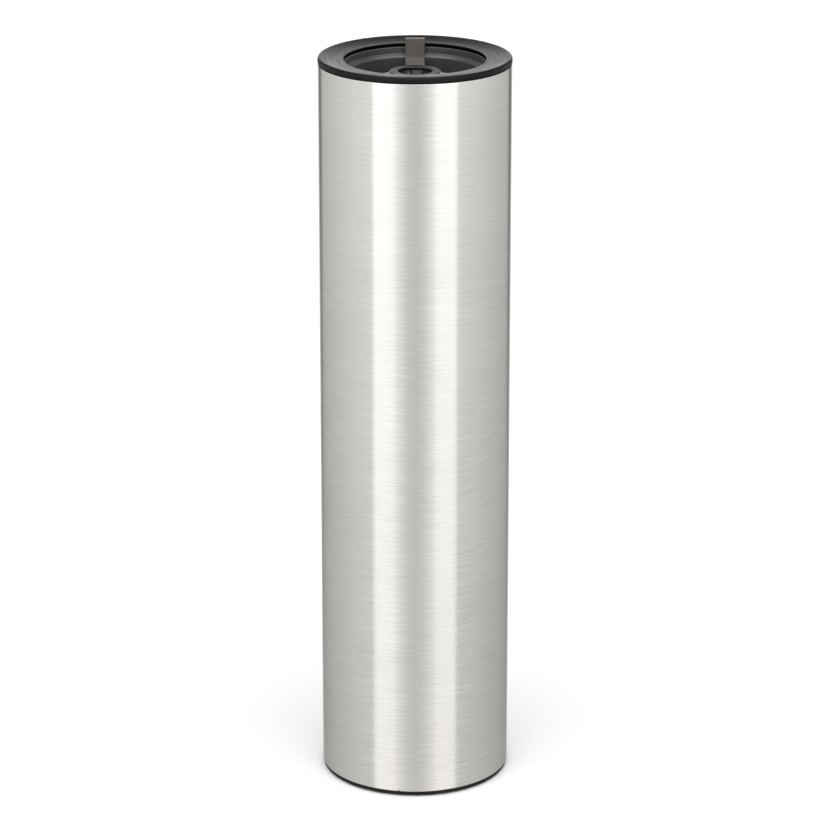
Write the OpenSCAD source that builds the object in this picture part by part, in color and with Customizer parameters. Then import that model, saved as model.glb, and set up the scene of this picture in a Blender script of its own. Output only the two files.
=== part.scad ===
// Umbrella stand: a weighted steel tube with a lift-out liner and a drop-in umbrella holder.
// Frame: the axis is Z, the floor is z = 0, the holder's finger tab is at +Y. Sizes are in mm.

/* [Steel tube] */
// Outer diameter of the tube
tube_d = 150; // [140:1:190]
// Length of the tube
tube_length = 578; // [400:1:720]
// Wall of the tube
tube_wall = 1; // [0.8:0.1:1.6]

/* [Top collar] */
// Diameter of the mouth that the umbrellas go through
mouth_d = 109; // [88:1:118]
// Height of the collar's outer side
collar_side = 4.2; // [3.8:0.1:8]
// Rounding of the collar's outer edge
collar_round = 2.9; // [1:0.1:3.4]
// Fall of the collar's top from the outer edge to the lip
funnel_drop = 2.2; // [0.5:0.1:4]
// Thickness of the collar's top
collar_wall = 2; // [1.6:0.1:3]
// Depth of the skirt that plugs into the tube
skirt_depth = 22; // [14:1:40]
// Wall of the skirt
skirt_wall = 2; // [1.6:0.1:3]
// Number of stiffening ribs under the collar between two screw bosses
rib_count = 3; // [1:1:5]
// Thickness of the gasket under the collar
gasket_t = 0.6; // [0.4:0.1:1.5]

/* [Liner] */
// Wall of the liner
liner_wall = 1.6; // [1.2:0.1:2.5]
// Depth of the liner's rim below the lip
rim_depth = 2.8; // [2.4:0.1:6]
// Height of the wall from the ledge up to the liner's rim
rim_wall = 5.2; // [4:0.1:12]
// Width of the ledge that carries the holder
ledge_w = 3.7; // [2.5:0.1:6]
// Fall of the ledge towards the middle
ledge_drop = 2.1; // [1:0.1:4]
// How much narrower the liner's radius is at its floor
liner_draft = 3; // [0:0.5:8]
// Thickness of the liner's floor
liner_floor = 2.5; // [1.6:0.1:5]
// Air between the ballast and the liner
liner_air = 5; // [2:1:30]
// Thickness of the liner's screw flange
flange_t = 2.4; // [1.6:0.1:4]

/* [Holder] */
// Diameter of the hub's bore
hub_bore_d = 31; // [22:1:38]
// Wall of the hub
hub_wall = 4.5; // [3:0.1:7]
// Height of the hub
hub_h = 8; // [6:0.5:16]
// Number of arms
arm_count = 3; // [2:1:4]
// Width of an arm
arm_w = 14.8; // [8:0.1:20]
// Thickness of an arm
arm_t = 3.6; // [2.4:0.1:6]
// Thickness of the finger tab
tab_t = 2.8; // [2:0.1:4]
// Height of the finger tab above the lip
tab_rise = 5; // [0:0.1:14]
// Wall that joins an arm to its foot
arm_root = 1.1; // [1:0.1:2]
// Height of the other arms' feet above their top face
foot_rise = 3.6; // [3:0.1:7]
// Number of petals in the rubber grip
petal_count = 8; // [5:1:12]
// Diameter of the hole between the petals
petal_hole_d = 12; // [10:1:14]

/* [Base] */
// Height of the base edge that shows under the tube
base_edge = 3.3; // [2.6:0.1:8]
// How far the base edge reaches out under the tube's wall
base_ledge = 0.3; // [0.2:0.1:0.8]
// Height of the base plug's skirt
plug_skirt = 24; // [18:1:50]
// Wall of the base plug's skirt
plug_wall = 2.5; // [2.2:0.1:4]
// Height of the ribs and bosses that the ballast rests on
plug_rib_h = 3; // [3:0.5:8]
// Thickness of the ballast
ballast_h = 22; // [14:1:60]
// Diameter of a foot pad
pad_d = 22; // [14:1:26]
// Thickness of a foot pad
pad_t = 2.6; // [2:0.1:5]
// How far the foot pads stand out
pad_out = 1; // [0.5:0.1:2]
// Number of foot pads, and of ballast screws between them
foot_count = 4; // [3:1:6]

/* [Screws] */
// Diameter of the ballast screws
ballast_screw_d = 4; // [3:0.5:6]
// How far the ballast screws reach into the ballast
ballast_grip = 9; // [6:1:12]
// Diameter of the liner screws
liner_screw_d = 2.5; // [2:0.1:3]
// Number of liner screws
liner_screw_count = 3; // [3:1:6]

/* [Clearances] */
// Radial clearance of the skirts in the tube
tube_fit = 0.3; // [0.2:0.05:0.6]
// Clearance of the holder inside the liner
holder_fit = 0.5; // [0.35:0.05:1]
// Air between the liner's screw flange and the collar's skirt
flange_air = 2; // [1:0.5:4]
// Air where a lift-out piece rests on its seat
seat_gap = 0.3; // [0.2:0.05:0.4]
// Clearance between pieces that are fixed together
snug = 0.1; // [0.05:0.01:0.15]

/* [Hidden] */
$fn = 96;

// Radii
tube_r = tube_d / 2;
tube_ri = tube_r - tube_wall;
mouth_r = mouth_d / 2;
skirt_r = tube_ri - tube_fit;
skirt_ri = skirt_r - skirt_wall;

// Heights of the stand
base_z = pad_out;
tube_z = base_z + base_edge;
plug_floor_z = tube_z + plug_rib_h;
ballast_top = plug_floor_z + ballast_h;
tube_top = tube_z + tube_length;

// Heights of the insert
gasket_z = tube_top + seat_gap;
collar_z = gasket_z + gasket_t;
collar_top = collar_z + collar_side;
lip_z = collar_top - funnel_drop;

// The collar's funnel
crest_r = tube_r - collar_round;
funnel_slope = funnel_drop / (crest_r - mouth_r);
lip_edge = 0.4;
lip_bevel = 1.4;
function funnel_z(r) = lip_z + (r - mouth_r) * funnel_slope;

// The liner's inside, from the rim down
rim_r = mouth_r - lip_edge;
rim_z = lip_z - rim_depth;
ledge_top = rim_z - rim_wall;
ledge_z = ledge_top - ledge_drop;
shaft_r = rim_r - ledge_w;
floor_r = shaft_r - liner_draft;
liner_z = ballast_top + liner_air;
floor_z = liner_z + liner_floor;
liner_drain = 1;

// The liner's screw flange and the bosses that it is screwed to
flange_top = ledge_top;
flange_r = skirt_ri - flange_air;
boss_d = 8;
boss_r = (rim_r + liner_wall + skirt_ri) / 2;
pilot_cap = 1.2;
liner_hole_d = liner_screw_d + 0.9;
liner_head_d = 6;
liner_head_h = 2;
rib_t = 1.6;
rib_air = 0.8;

// The holder
arm_top = ledge_z;
arm_bottom = arm_top - arm_t;
envelope_r = rim_r - holder_fit;
tab_top = lip_z + tab_rise;
tab_y = shaft_r - holder_fit - arm_root;
foot_top = arm_top + foot_rise;
fillet = 1.6;
hub_d = hub_bore_d + 2 * hub_wall;
hub_bottom = arm_top - hub_h;
hub_shelf = 1.5;
hub_shelf_t = 1.6;
grip_r = hub_bore_d / 2 - snug;
grip_wall = 2.4;
grip_top = arm_top - 0.4;
petal_t = 1.4;
petal_drop = 1.2;
petal_gap = 0.9;

// The base plug and what it holds
plug_r = tube_ri + base_ledge;
plug_skirt_r = tube_ri - tube_fit;
plug_skirt_ri = plug_skirt_r - plug_wall;
plug_top = tube_z + plug_skirt;
ballast_r = plug_skirt_ri - 1.2;
plug_rib_t = 2.4;
foot_r = ballast_r - pad_d / 2 - 4;
washer_d = ballast_screw_d * 2.25;
washer_t = 0.8;
screw_head_d = ballast_screw_d * 2;
screw_head_h = ballast_screw_d * 0.6;
counterbore_d = washer_d + 1;
counterbore_h = base_edge + plug_rib_h - 1.8;
plug_boss_d = counterbore_d + 4;
half_step = 180 / foot_count;

// The clips that hold the base plug in the tube
clip_count = 3;
clip_w = 12;
clip_t = 0.5;
clip_leg = 12;
clip_recess = 1.2;
clip_air = 0.1;
barb_h = 4;

// How far out a flat clip may stand inside a round wall of radius r
function chord_r(r) = sqrt(r * r - clip_w * clip_w / 4);

overlap = 0.5;

// Points on an arc about (x, y), from angle a to angle b
function arc(x, y, r, a, b, steps = 6) =
    [for (i = [0:steps]) let (t = a + (b - a) * i / steps) [x + r * cos(t), y + r * sin(t)]];

// Places its children at a radius, count times round the axis
module around(count, r, start = 0) {
    for (i = [0:count - 1])
        rotate([0, 0, start + i * 360 / count])
            translate([r, 0, 0]) children();
}

// A plate whose outline is given in the radial plane, radius first and height second
module radial_plate(width) {
    translate([0, width / 2, 0])
        rotate([90, 0, 0])
            linear_extrude(height = width) children();
}

// Brushed steel tube
module outer_tube() {
    color("silver")
        translate([0, 0, tube_z])
            difference() {
                cylinder(r = tube_r, h = tube_length);
                translate([0, 0, -overlap])
                    cylinder(r = tube_ri, h = tube_length + 2 * overlap);
            }
}

// Moulded plug that closes the tube's lower end and carries the ballast
module base_plug() {
    color("dimgray")
        difference() {
            union() {
                plug_shell();
                plug_ribs();
                around(foot_count, foot_r, half_step)
                    translate([0, 0, tube_z - overlap])
                        cylinder(d = plug_boss_d, h = plug_rib_h + overlap);
            }
            around(foot_count, foot_r)
                translate([0, 0, base_z - overlap])
                    cylinder(d = pad_d + 2 * snug, h = pad_t - pad_out + overlap);
            around(foot_count, foot_r, half_step) plug_screw_hole();
            around(clip_count, 0, 90) clip_pocket();
        }
}

module plug_shell() {
    rotate_extrude()
        polygon([
            [0, base_z], [plug_r - 0.6, base_z], [plug_r, base_z + 0.6], [plug_r, tube_z],
            [plug_skirt_r, tube_z], [plug_skirt_r, plug_top - 1], [plug_skirt_r - 1, plug_top],
            [plug_skirt_ri, plug_top], [plug_skirt_ri, tube_z], [0, tube_z]
        ]);
}

module plug_ribs() {
    for (i = [0:2 * foot_count - 1])
        rotate([0, 0, (i + 0.5) * half_step])
            translate([0, -plug_rib_t / 2, tube_z - overlap])
                cube([plug_skirt_ri + overlap, plug_rib_t, plug_rib_h + overlap]);
}

module plug_screw_hole() {
    translate([0, 0, base_z - overlap])
        cylinder(d = counterbore_d, h = counterbore_h + overlap);
    translate([0, 0, base_z])
        cylinder(d = ballast_screw_d + 0.6, h = plug_floor_z - base_z + overlap);
}

// The hollow that a clip needs in the plug's skirt
module clip_pocket() {
    translate([plug_skirt_r - clip_recess, -clip_w / 2 - 1, plug_top - clip_leg - 2])
        cube([clip_recess + overlap, clip_w + 2, clip_leg + 2 + overlap]);
}

// Spring clips that hook over the plug's skirt and bite into the tube
module base_clips() {
    inner = chord_r(plug_skirt_ri) - clip_air - clip_t;
    outer = plug_skirt_r - clip_recess + clip_air;
    bridge = plug_top + clip_air;
    leg_z = bridge - clip_leg;
    barb_r = chord_r(tube_ri) - clip_air;
    color("lightsteelblue")
        around(clip_count, 0, 90)
            radial_plate(clip_w)
                polygon([
                    [inner, leg_z], [inner + clip_t, leg_z], [inner + clip_t, bridge],
                    [outer, bridge], [outer, leg_z], [outer + clip_t, leg_z], [outer + clip_t, leg_z + barb_h],
                    [barb_r, leg_z + barb_h], [outer + clip_t, leg_z + 2 * barb_h],
                    [outer + clip_t, bridge + clip_t], [inner, bridge + clip_t]
                ]);
}

// Cast disc that keeps the stand upright
module ballast() {
    edge = 1.5;
    color("slategray")
        difference() {
            rotate_extrude()
                polygon([
                    [0, plug_floor_z], [ballast_r - edge, plug_floor_z], [ballast_r, plug_floor_z + edge],
                    [ballast_r, ballast_top - edge], [ballast_r - edge, ballast_top], [0, ballast_top]
                ]);
            around(foot_count, foot_r, half_step)
                translate([0, 0, plug_floor_z - overlap])
                    cylinder(d = ballast_screw_d + snug, h = ballast_grip + 1 + overlap);
        }
}

module ballast_screws() {
    head_top = base_z + counterbore_h - washer_t;
    socket = screw_head_h / 2;
    color("gainsboro")
        around(foot_count, foot_r, half_step)
            difference() {
                union() {
                    translate([0, 0, head_top - screw_head_h])
                        cylinder(d = screw_head_d, h = screw_head_h);
                    translate([0, 0, head_top - overlap])
                        cylinder(d = ballast_screw_d, h = plug_floor_z + ballast_grip - head_top + overlap);
                }
                translate([0, 0, head_top - screw_head_h - overlap])
                    cylinder(d = screw_head_d / 2, h = socket + overlap, $fn = 6);
            }
}

module ballast_washers() {
    color("gainsboro")
        around(foot_count, foot_r, half_step)
            translate([0, 0, base_z + counterbore_h - washer_t])
                difference() {
                    cylinder(d = washer_d, h = washer_t);
                    translate([0, 0, -overlap])
                        cylinder(d = ballast_screw_d + 2 * snug, h = washer_t + 2 * overlap);
                }
}

module foot_pads() {
    edge = 0.5;
    color("black")
        around(foot_count, foot_r)
            rotate_extrude()
                polygon([
                    [0, 0], [pad_d / 2 - edge, 0], [pad_d / 2, edge], [pad_d / 2, pad_t], [0, pad_t]
                ]);
}

// Moulded collar: a shallow funnel round the mouth, with a skirt that plugs into the tube
module top_collar() {
    color("dimgray")
        difference() {
            union() {
                collar_shell();
                collar_ribs();
                around(liner_screw_count, boss_r, 90) collar_boss();
            }
            around(liner_screw_count, boss_r, 90)
                translate([0, 0, flange_top - overlap])
                    cylinder(d = liner_screw_d + snug,
                             h = funnel_z(boss_r) - collar_wall - pilot_cap - flange_top + overlap);
        }
}

module collar_shell() {
    underside = collar_z - skirt_depth;
    rotate_extrude()
        polygon(concat(
            [[skirt_r, underside], [skirt_r, collar_z], [tube_r, collar_z]],
            arc(crest_r, collar_top - collar_round, collar_round, 0, 90),
            [
                [mouth_r + lip_edge, funnel_z(mouth_r + lip_edge)], [mouth_r, lip_z - lip_edge],
                [mouth_r + lip_bevel, lip_z - lip_edge - lip_bevel],
                [skirt_ri, funnel_z(skirt_ri) - collar_wall], [skirt_ri, underside]
            ]
        ));
}

module collar_boss() {
    translate([0, 0, flange_top])
        cylinder(d = boss_d, h = funnel_z(boss_r) - collar_wall / 2 - flange_top);
}

// Ribs between the bosses, from the skirt to just short of the liner's rim
module collar_ribs() {
    inner = rim_r + liner_wall + rib_air;
    low = flange_top + rib_air;
    step = 360 / (liner_screw_count * (rib_count + 1));
    for (i = [0:liner_screw_count - 1], j = [1:rib_count])
        rotate([0, 0, 90 + i * 360 / liner_screw_count + j * step])
            radial_plate(rib_t)
                polygon([
                    [inner, funnel_z(inner) - collar_wall + overlap], [inner, funnel_z(inner) - collar_wall - rib_air],
                    [inner + 4, low], [skirt_ri + overlap, low],
                    [skirt_ri + overlap, funnel_z(skirt_ri) - collar_wall + overlap]
                ]);
}

module rim_gasket() {
    color("black")
        translate([0, 0, gasket_z])
            difference() {
                cylinder(r = tube_r - 0.4, h = gasket_t);
                translate([0, 0, -overlap])
                    cylinder(r = skirt_r + snug, h = gasket_t + 2 * overlap);
            }
}

// Bucket that catches the water, stepped at the mouth to carry the holder
module liner() {
    color("#262628")
        difference() {
            rotate_extrude()
                polygon([
                    [0, liner_z + liner_drain], [floor_r - 4, liner_z + liner_drain], [floor_r - 3, liner_z],
                    [floor_r + liner_wall - 1, liner_z], [floor_r + liner_wall, liner_z + 1],
                    [shaft_r + liner_wall, ledge_z - liner_wall / 2],
                    [rim_r + liner_wall - 1, flange_top - flange_t], [flange_r, flange_top - flange_t],
                    [flange_r, flange_top], [rim_r + liner_wall, flange_top], [rim_r + liner_wall, rim_z - 0.4],
                    [rim_r + liner_wall - 0.4, rim_z], [rim_r + 0.4, rim_z], [rim_r, rim_z - 0.4],
                    [rim_r, ledge_top], [shaft_r, ledge_z], [floor_r, floor_z + 3], [floor_r - 3, floor_z],
                    [0, floor_z]
                ]);
            around(liner_screw_count, boss_r, 90)
                translate([0, 0, flange_top - flange_t - overlap])
                    cylinder(d = liner_hole_d, h = flange_t + 2 * overlap);
        }
}

module liner_screws() {
    seat = flange_top - flange_t;
    tip = funnel_z(boss_r) - collar_wall - pilot_cap - 0.6;
    color("gainsboro")
        around(liner_screw_count, boss_r, 90)
            difference() {
                union() {
                    translate([0, 0, seat - liner_head_h])
                        cylinder(d = liner_head_d, h = liner_head_h);
                    translate([0, 0, seat - overlap])
                        cylinder(d = liner_screw_d, h = tip - seat + overlap);
                }
                translate([-liner_head_d / 4, -0.4, seat - liner_head_h - overlap])
                    cube([liner_head_d / 2, 0.8, 1 + overlap]);
                translate([-0.4, -liner_head_d / 4, seat - liner_head_h - overlap])
                    cube([0.8, liner_head_d / 2, 1 + overlap]);
            }
}

// Ridged mat that umbrella tips stand on
module tip_mat() {
    mat_r = floor_r - 4;
    mat_t = 2;
    ridge = 3;
    pitch = 10;
    color("black")
        difference() {
            translate([0, 0, floor_z])
                cylinder(r = mat_r, h = mat_t + 1);
            for (r = [pitch / 2:pitch:mat_r - ridge])
                translate([0, 0, floor_z + mat_t])
                    difference() {
                        cylinder(r = min(r + pitch - ridge, mat_r - ridge / 2), h = 1 + overlap);
                        translate([0, 0, -overlap])
                            cylinder(r = r, h = 1 + 3 * overlap);
                    }
        }
}

// Everything of the holder stays inside this turned shape, which follows the liner's mouth
module holder_envelope() {
    rotate_extrude()
        polygon([
            [0, hub_bottom - overlap], [shaft_r - holder_fit, hub_bottom - overlap],
            [shaft_r - holder_fit, ledge_z + seat_gap], [envelope_r, ledge_top + seat_gap],
            [envelope_r, tab_top + overlap], [0, tab_top + overlap]
        ]);
}

// One arm with the foot that rests on the ledge, and its inner face carried up to the height given
module holder_arm(top) {
    step = top > foot_top ? [[tab_y + tab_t, foot_top], [tab_y + tab_t, top]] : [];
    radial_plate(arm_w)
        polygon(concat(
            [[hub_d / 2 - overlap, arm_bottom], [rim_r, arm_bottom], [rim_r, foot_top]],
            step,
            [[tab_y, top]],
            arc(tab_y - fillet, arm_top + fillet, fillet, 0, -90),
            [[hub_d / 2 - overlap, arm_top]]
        ));
}

// Drop-in divider: a hub on arms that rest on the liner's ledge, one with a tab to lift it by
module holder() {
    color("#303032")
        intersection() {
            holder_envelope();
            difference() {
                union() {
                    translate([0, 0, hub_bottom])
                        cylinder(d = hub_d, h = hub_h);
                    for (i = [0:arm_count - 1])
                        rotate([0, 0, 90 + i * 360 / arm_count])
                            holder_arm(i == 0 ? tab_top : foot_top);
                }
                translate([0, 0, hub_bottom + hub_shelf_t])
                    cylinder(d = hub_bore_d, h = hub_h + overlap);
                translate([0, 0, hub_bottom - overlap])
                    cylinder(d = hub_bore_d - 2 * hub_shelf, h = hub_h);
            }
        }
}

// Rubber ring with petals that grip an umbrella's shaft
module hub_grip() {
    bottom = hub_bottom + hub_shelf_t;
    leaf = grip_top - petal_drop;
    color("black")
        difference() {
            translate([0, 0, bottom])
                cylinder(r = grip_r, h = grip_top - bottom);
            translate([0, 0, bottom - overlap])
                cylinder(r = grip_r - grip_wall, h = leaf - petal_t - bottom + overlap);
            translate([0, 0, leaf])
                cylinder(r = grip_r - grip_wall, h = petal_drop + overlap);
            translate([0, 0, leaf - petal_t - overlap])
                cylinder(d = petal_hole_d, h = petal_t + 2 * overlap);
            for (i = [0:petal_count - 1])
                rotate([0, 0, (i + 0.5) * 360 / petal_count])
                    translate([0, -petal_gap / 2, leaf - petal_t - overlap])
                        cube([grip_r - grip_wall, petal_gap, petal_t + 2 * overlap]);
        }
}

outer_tube();
base_plug();
base_clips();
ballast();
ballast_screws();
ballast_washers();
foot_pads();
top_collar();
rim_gasket();
liner();
liner_screws();
tip_mat();
holder();
hub_grip();
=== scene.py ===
"""Umbrella stand: the finished pieces of a weighted steel tube with a black collar, a liner and a holder."""

import math

import bmesh
import bpy
from bpy.props import FloatProperty, FloatVectorProperty, IntProperty, PointerProperty
from mathutils import Matrix, Vector


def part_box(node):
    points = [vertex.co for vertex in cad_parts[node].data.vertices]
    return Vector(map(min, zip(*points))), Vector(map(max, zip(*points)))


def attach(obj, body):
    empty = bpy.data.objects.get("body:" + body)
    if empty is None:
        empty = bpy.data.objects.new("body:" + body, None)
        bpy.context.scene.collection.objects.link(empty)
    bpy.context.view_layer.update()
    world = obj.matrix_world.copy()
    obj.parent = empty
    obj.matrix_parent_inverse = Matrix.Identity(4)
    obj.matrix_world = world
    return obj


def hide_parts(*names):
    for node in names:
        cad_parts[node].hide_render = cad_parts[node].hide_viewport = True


bl_info = {
    "name": "Umbrella Stand",
    "version": (1, 0, 0),
    "blender": (4, 5, 0),
    "location": "View3D > Sidebar > Umbrella Stand",
    "description": "Builds the finished pieces of a steel umbrella stand round its packed model",
    "category": "Object",
}

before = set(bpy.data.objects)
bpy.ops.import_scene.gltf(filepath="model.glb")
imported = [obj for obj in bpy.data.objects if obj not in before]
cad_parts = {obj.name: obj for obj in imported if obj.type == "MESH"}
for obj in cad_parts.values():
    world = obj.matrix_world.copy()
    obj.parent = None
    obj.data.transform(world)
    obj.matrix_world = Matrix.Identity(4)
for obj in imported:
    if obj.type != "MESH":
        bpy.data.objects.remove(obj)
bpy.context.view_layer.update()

MM = 0.001
FULL_TURN = 2 * math.pi
FINE_TURN = 256
TURN = 192
SMALL_TURN = 40
SCREW_TURN = 24
DISH_STEPS = 12
GUARD_GAP = 0.5 * MM
MERGE_GAP = 0.004 * MM
SMOOTH_ANGLE = 32.0
SAME_PLACE = 1e-6
SAME_HEIGHT = 1e-7
ORDER_DIGITS = 7
SCREWS_ROUND_LINER = 3
FIRST_SCREW = 90
WASHER_SHARE = 1.125


def low(node):
    """Height of a CAD node's lowest point."""
    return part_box(node)[0].z


def high(node):
    """Height of a CAD node's highest point."""
    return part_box(node)[1].z


def reach(node):
    """Distance from the axis to a CAD node's farthest side."""
    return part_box(node)[1].x


def nearest(node):
    """Distance from the axis to a CAD node's nearest point."""
    return min(math.hypot(v.co.x, v.co.y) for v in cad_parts[node].data.vertices)


# Radii and heights that several pieces share, all from the frame
TUBE_R = reach("outer_tube")
TUBE_INNER_R = nearest("outer_tube")
TUBE_LOW = low("outer_tube")
TUBE_TOP = high("outer_tube")
MOUTH_R = nearest("top_collar")
COLLAR_TOP = high("top_collar")
GASKET_LOW = low("rim_gasket")
GASKET_TOP = high("rim_gasket")
SKIRT_LOW = low("top_collar")
LINER_LOW = low("liner")
LINER_RIM = high("liner")
HUB_LOW = low("holder")
TAB_TOP = high("holder")
BALLAST_LOW = low("ballast")
BALLAST_TOP = high("ballast")
PLUG_LOW = low("base_plug")
PLUG_TOP = high("base_plug")
PAD_TOP = high("foot_pads")


# Sizes and colours that a user may change


def size(name, description, default, **more):
    """A length property in metres."""
    return FloatProperty(
        name=name, description=description, default=default, unit="LENGTH", precision=5, **more
    )


def share(name, description, default, most=1.0):
    """A plain number property from 0 up to most."""
    return FloatProperty(name=name, description=description, default=default, min=0.0, max=most, precision=3)


def tint(name, description, default):
    """A colour property."""
    return FloatVectorProperty(
        name=name, description=description, default=default, size=3, subtype="COLOR", min=0.0, max=1.0
    )


class StandTube(bpy.types.PropertyGroup):
    """The steel tube."""

    edge: size("Cut edge", "Rounding of the tube's cut edges", 0.25 * MM)
    bead_width: size("Weld width", "Width of the weld bead inside the tube's back", 3.2 * MM)
    bead_height: size("Weld height", "Height of the weld bead", 0.2 * MM)
    colour: tint("Steel", "Colour of the brushed steel", (0.700, 0.687, 0.668))
    roughness: share("Roughness", "Roughness along the tube", 0.225)
    streak_length: size("Grain length", "Length of a brush mark round the tube", 26 * MM)
    streak_height: size("Grain height", "Height of a brush mark", 0.8 * MM)


class StandCollar(bpy.types.PropertyGroup):
    """The moulded collar and its gasket."""

    outer_round: size("Outer rounding", "Rounding of the collar's outer edge", 2.0 * MM)
    funnel_drop: size("Funnel drop", "Fall of the top from the outer edge to the lip", 2.2 * MM)
    dish: FloatProperty(
        name="Dish", description="How much of the fall lies near the outer edge, 1 for none",
        default=1.7, min=1.0, max=3.0,
    )
    lip_edge: size("Lip edge", "Height of the lip's upper bevel", 0.4 * MM)
    lip_bevel: size("Lip bevel", "Height of the bevel under the lip", 1.4 * MM)
    wall: size("Wall", "Thickness of the collar's top", 2.0 * MM)
    skirt_wall: size("Skirt wall", "Thickness of the collar's skirt", 2.0 * MM)
    skirt_fit: size("Skirt fit", "Clearance between the skirt and the tube", 0.3 * MM)
    ribs: IntProperty(name="Ribs", description="Ribs between two screw bosses", default=3, min=1, max=5)
    scuff_length: size("Scuff length", "Length of a scuff round the collar's top", 34 * MM)
    scuff_width: size("Scuff width", "Width of a scuff", 1.3 * MM)
    colour: tint("Plastic", "Colour of the collar", (0.0115, 0.0103, 0.0106))
    # The gasket is black rubber; its colour, darker than the other rubber, is painted shade for the shadow
    # line under the collar.
    gasket: tint("Gasket", "Colour of the gasket", (0.003, 0.003, 0.003))


class StandLiner(bpy.types.PropertyGroup):
    """The liner and what is fixed to it."""

    wall: size("Wall", "Thickness of the liner's wall", 1.6 * MM)
    rim_inside: size("Rim inside", "How far the liner's rim stands inside the lip's widest ring", 0.4 * MM)
    rim_wall: size("Rim wall", "Height from the ledge to the rim", 5.2 * MM)
    ledge_width: size("Ledge width", "Width of the ledge that carries the holder", 3.7 * MM)
    ledge_drop: size("Ledge drop", "Fall of the ledge towards the middle", 2.1 * MM)
    draft: size("Draft", "How much narrower the floor's radius is", 3.0 * MM)
    floor: size("Floor", "Thickness of the floor", 2.5 * MM)
    flange: size("Flange", "Thickness of the screw flange", 2.4 * MM)
    screw: size("Screw", "Diameter of a liner screw", 2.5 * MM)
    hole: size("Screw hole", "Diameter of a hole in the flange", 3.4 * MM)
    colour: tint("Plastic", "Colour of the liner", (0.060, 0.058, 0.057))


class StandHolder(bpy.types.PropertyGroup):
    """The drop-in holder and its rubber grip."""

    bore: size("Bore", "Diameter of the hub's bore", 31.0 * MM)
    hub_wall: size("Hub wall", "Thickness of the hub", 4.5 * MM)
    arms: IntProperty(name="Arms", description="Number of arms", default=3, min=2, max=4)
    arm_width: size("Arm width", "Width of an arm", 14.8 * MM)
    arm_height: size("Arm height", "Thickness of an arm", 3.6 * MM)
    foot_rise: size("Foot rise", "Height of a foot above its arm", 3.6 * MM)
    tab_thickness: size("Tab", "Thickness of the finger tab", 2.8 * MM)
    root: size("Root", "Wall that joins an arm to its foot", 1.1 * MM)
    web: size("Web", "Radius of the fillets between the hub and the arms", 4.0 * MM)
    fit: size("Fit", "Clearance of the holder inside the liner", 0.5 * MM)
    seat: size("Seat", "Air between a foot and the ledge", 0.3 * MM)
    lip_width: size("Lip width", "How far the grip's lip covers the hub's top", 4.2 * MM)
    lip_height: size("Lip height", "Thickness of the grip's lip", 0.6 * MM)
    petals: IntProperty(name="Petals", description="Petals in the rubber grip", default=8, min=5, max=12)
    colour: tint("Plastic", "Colour of the holder", (0.105, 0.096, 0.090))
    rubber: tint("Rubber", "Colour of the grip", (0.004, 0.004, 0.004))


class StandBase(bpy.types.PropertyGroup):
    """The base plug and what it holds."""

    skirt_wall: size("Skirt wall", "Thickness of the plug's skirt", 2.5 * MM)
    edge: size("Edge", "Rounding of the base edge", 0.7 * MM)
    pad: size("Pad", "Diameter of a foot pad", 22.0 * MM)
    screw: size("Screw", "Diameter of a ballast screw", 4.0 * MM)
    feet: IntProperty(name="Feet", description="Foot pads, and screws between them", default=4, min=3, max=6)
    clips: IntProperty(name="Clips", description="Spring clips in the plug's skirt", default=3, min=3, max=6)
    clip: size("Clip width", "Width of a spring clip", 12 * MM)
    rib: size("Rib", "Thickness of a rib under the ballast", 2.4 * MM)
    gate: FloatProperty(
        name="Gate mark", description="Angle in degrees of the moulding mark on the base edge", default=-99.7
    )
    # The base plug is black plastic; its colour, darker than the collar's, is painted shade for the shadow
    # round the stand's foot.
    colour: tint("Plastic", "Colour of the base plug", (0.006, 0.006, 0.006))
    iron: tint("Iron", "Colour of the ballast", (0.055, 0.055, 0.058))
    zinc: tint("Zinc", "Colour of the screws and washers", (0.60, 0.61, 0.62))
    rubber: tint("Rubber", "Colour of the pads, mat and gasket", (0.012, 0.012, 0.012))


class StandStudio(bpy.types.PropertyGroup):
    """Camera, floor and lights."""

    distance: size("Camera distance", "Level distance from the tube's axis to the camera", 2.7)
    above: FloatProperty(
        name="View of the top", description="Angle at which the camera looks down on the collar",
        default=math.radians(12.8), subtype="ANGLE",
    )
    fill: share("Fill", "Share of the picture's height that the stand takes", 0.917)
    floor: tint("Floor", "Colour of the floor", (0.80, 0.80, 0.80))
    overhead: share("Overhead", "Strength of the light overhead", 2.2, 20.0)


# Shapes


def arc(centre, radius, start, end, steps):
    """Points on an arc about a centre, from one angle to another in degrees."""
    angles = [math.radians(start + (end - start) * i / steps) for i in range(steps + 1)]
    return [(centre[0] + radius * math.cos(a), centre[1] + radius * math.sin(a)) for a in angles]


def rounded(corners, steps=5):
    """An outline from corners (x, y) or (x, y, radius): an arc replaces each corner that has a radius."""
    outline = []
    count = len(corners)
    for i, corner in enumerate(corners):
        here = Vector(corner[:2])
        radius = corner[2] if len(corner) > 2 else 0.0
        before = Vector(corners[i - 1][:2]) - here
        after = Vector(corners[(i + 1) % count][:2]) - here
        if radius <= 0.0 or before.length == 0.0 or after.length == 0.0:
            outline.append(tuple(here))
            continue
        before_way = before.normalized()
        after_way = after.normalized()
        half = before_way.angle(after_way) / 2
        run = min(radius / math.tan(half), 0.49 * before.length, 0.49 * after.length)
        radius = run * math.tan(half)
        centre = here + (before_way + after_way).normalized() * (radius / math.sin(half))
        first = here + before_way * run - centre
        last = here + after_way * run - centre
        sweep = first.angle_signed(last)
        for k in range(steps + 1):
            turned_spoke = Matrix.Rotation(-sweep * k / steps, 2) @ first
            outline.append(tuple(centre + turned_spoke))
    return outline


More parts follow.
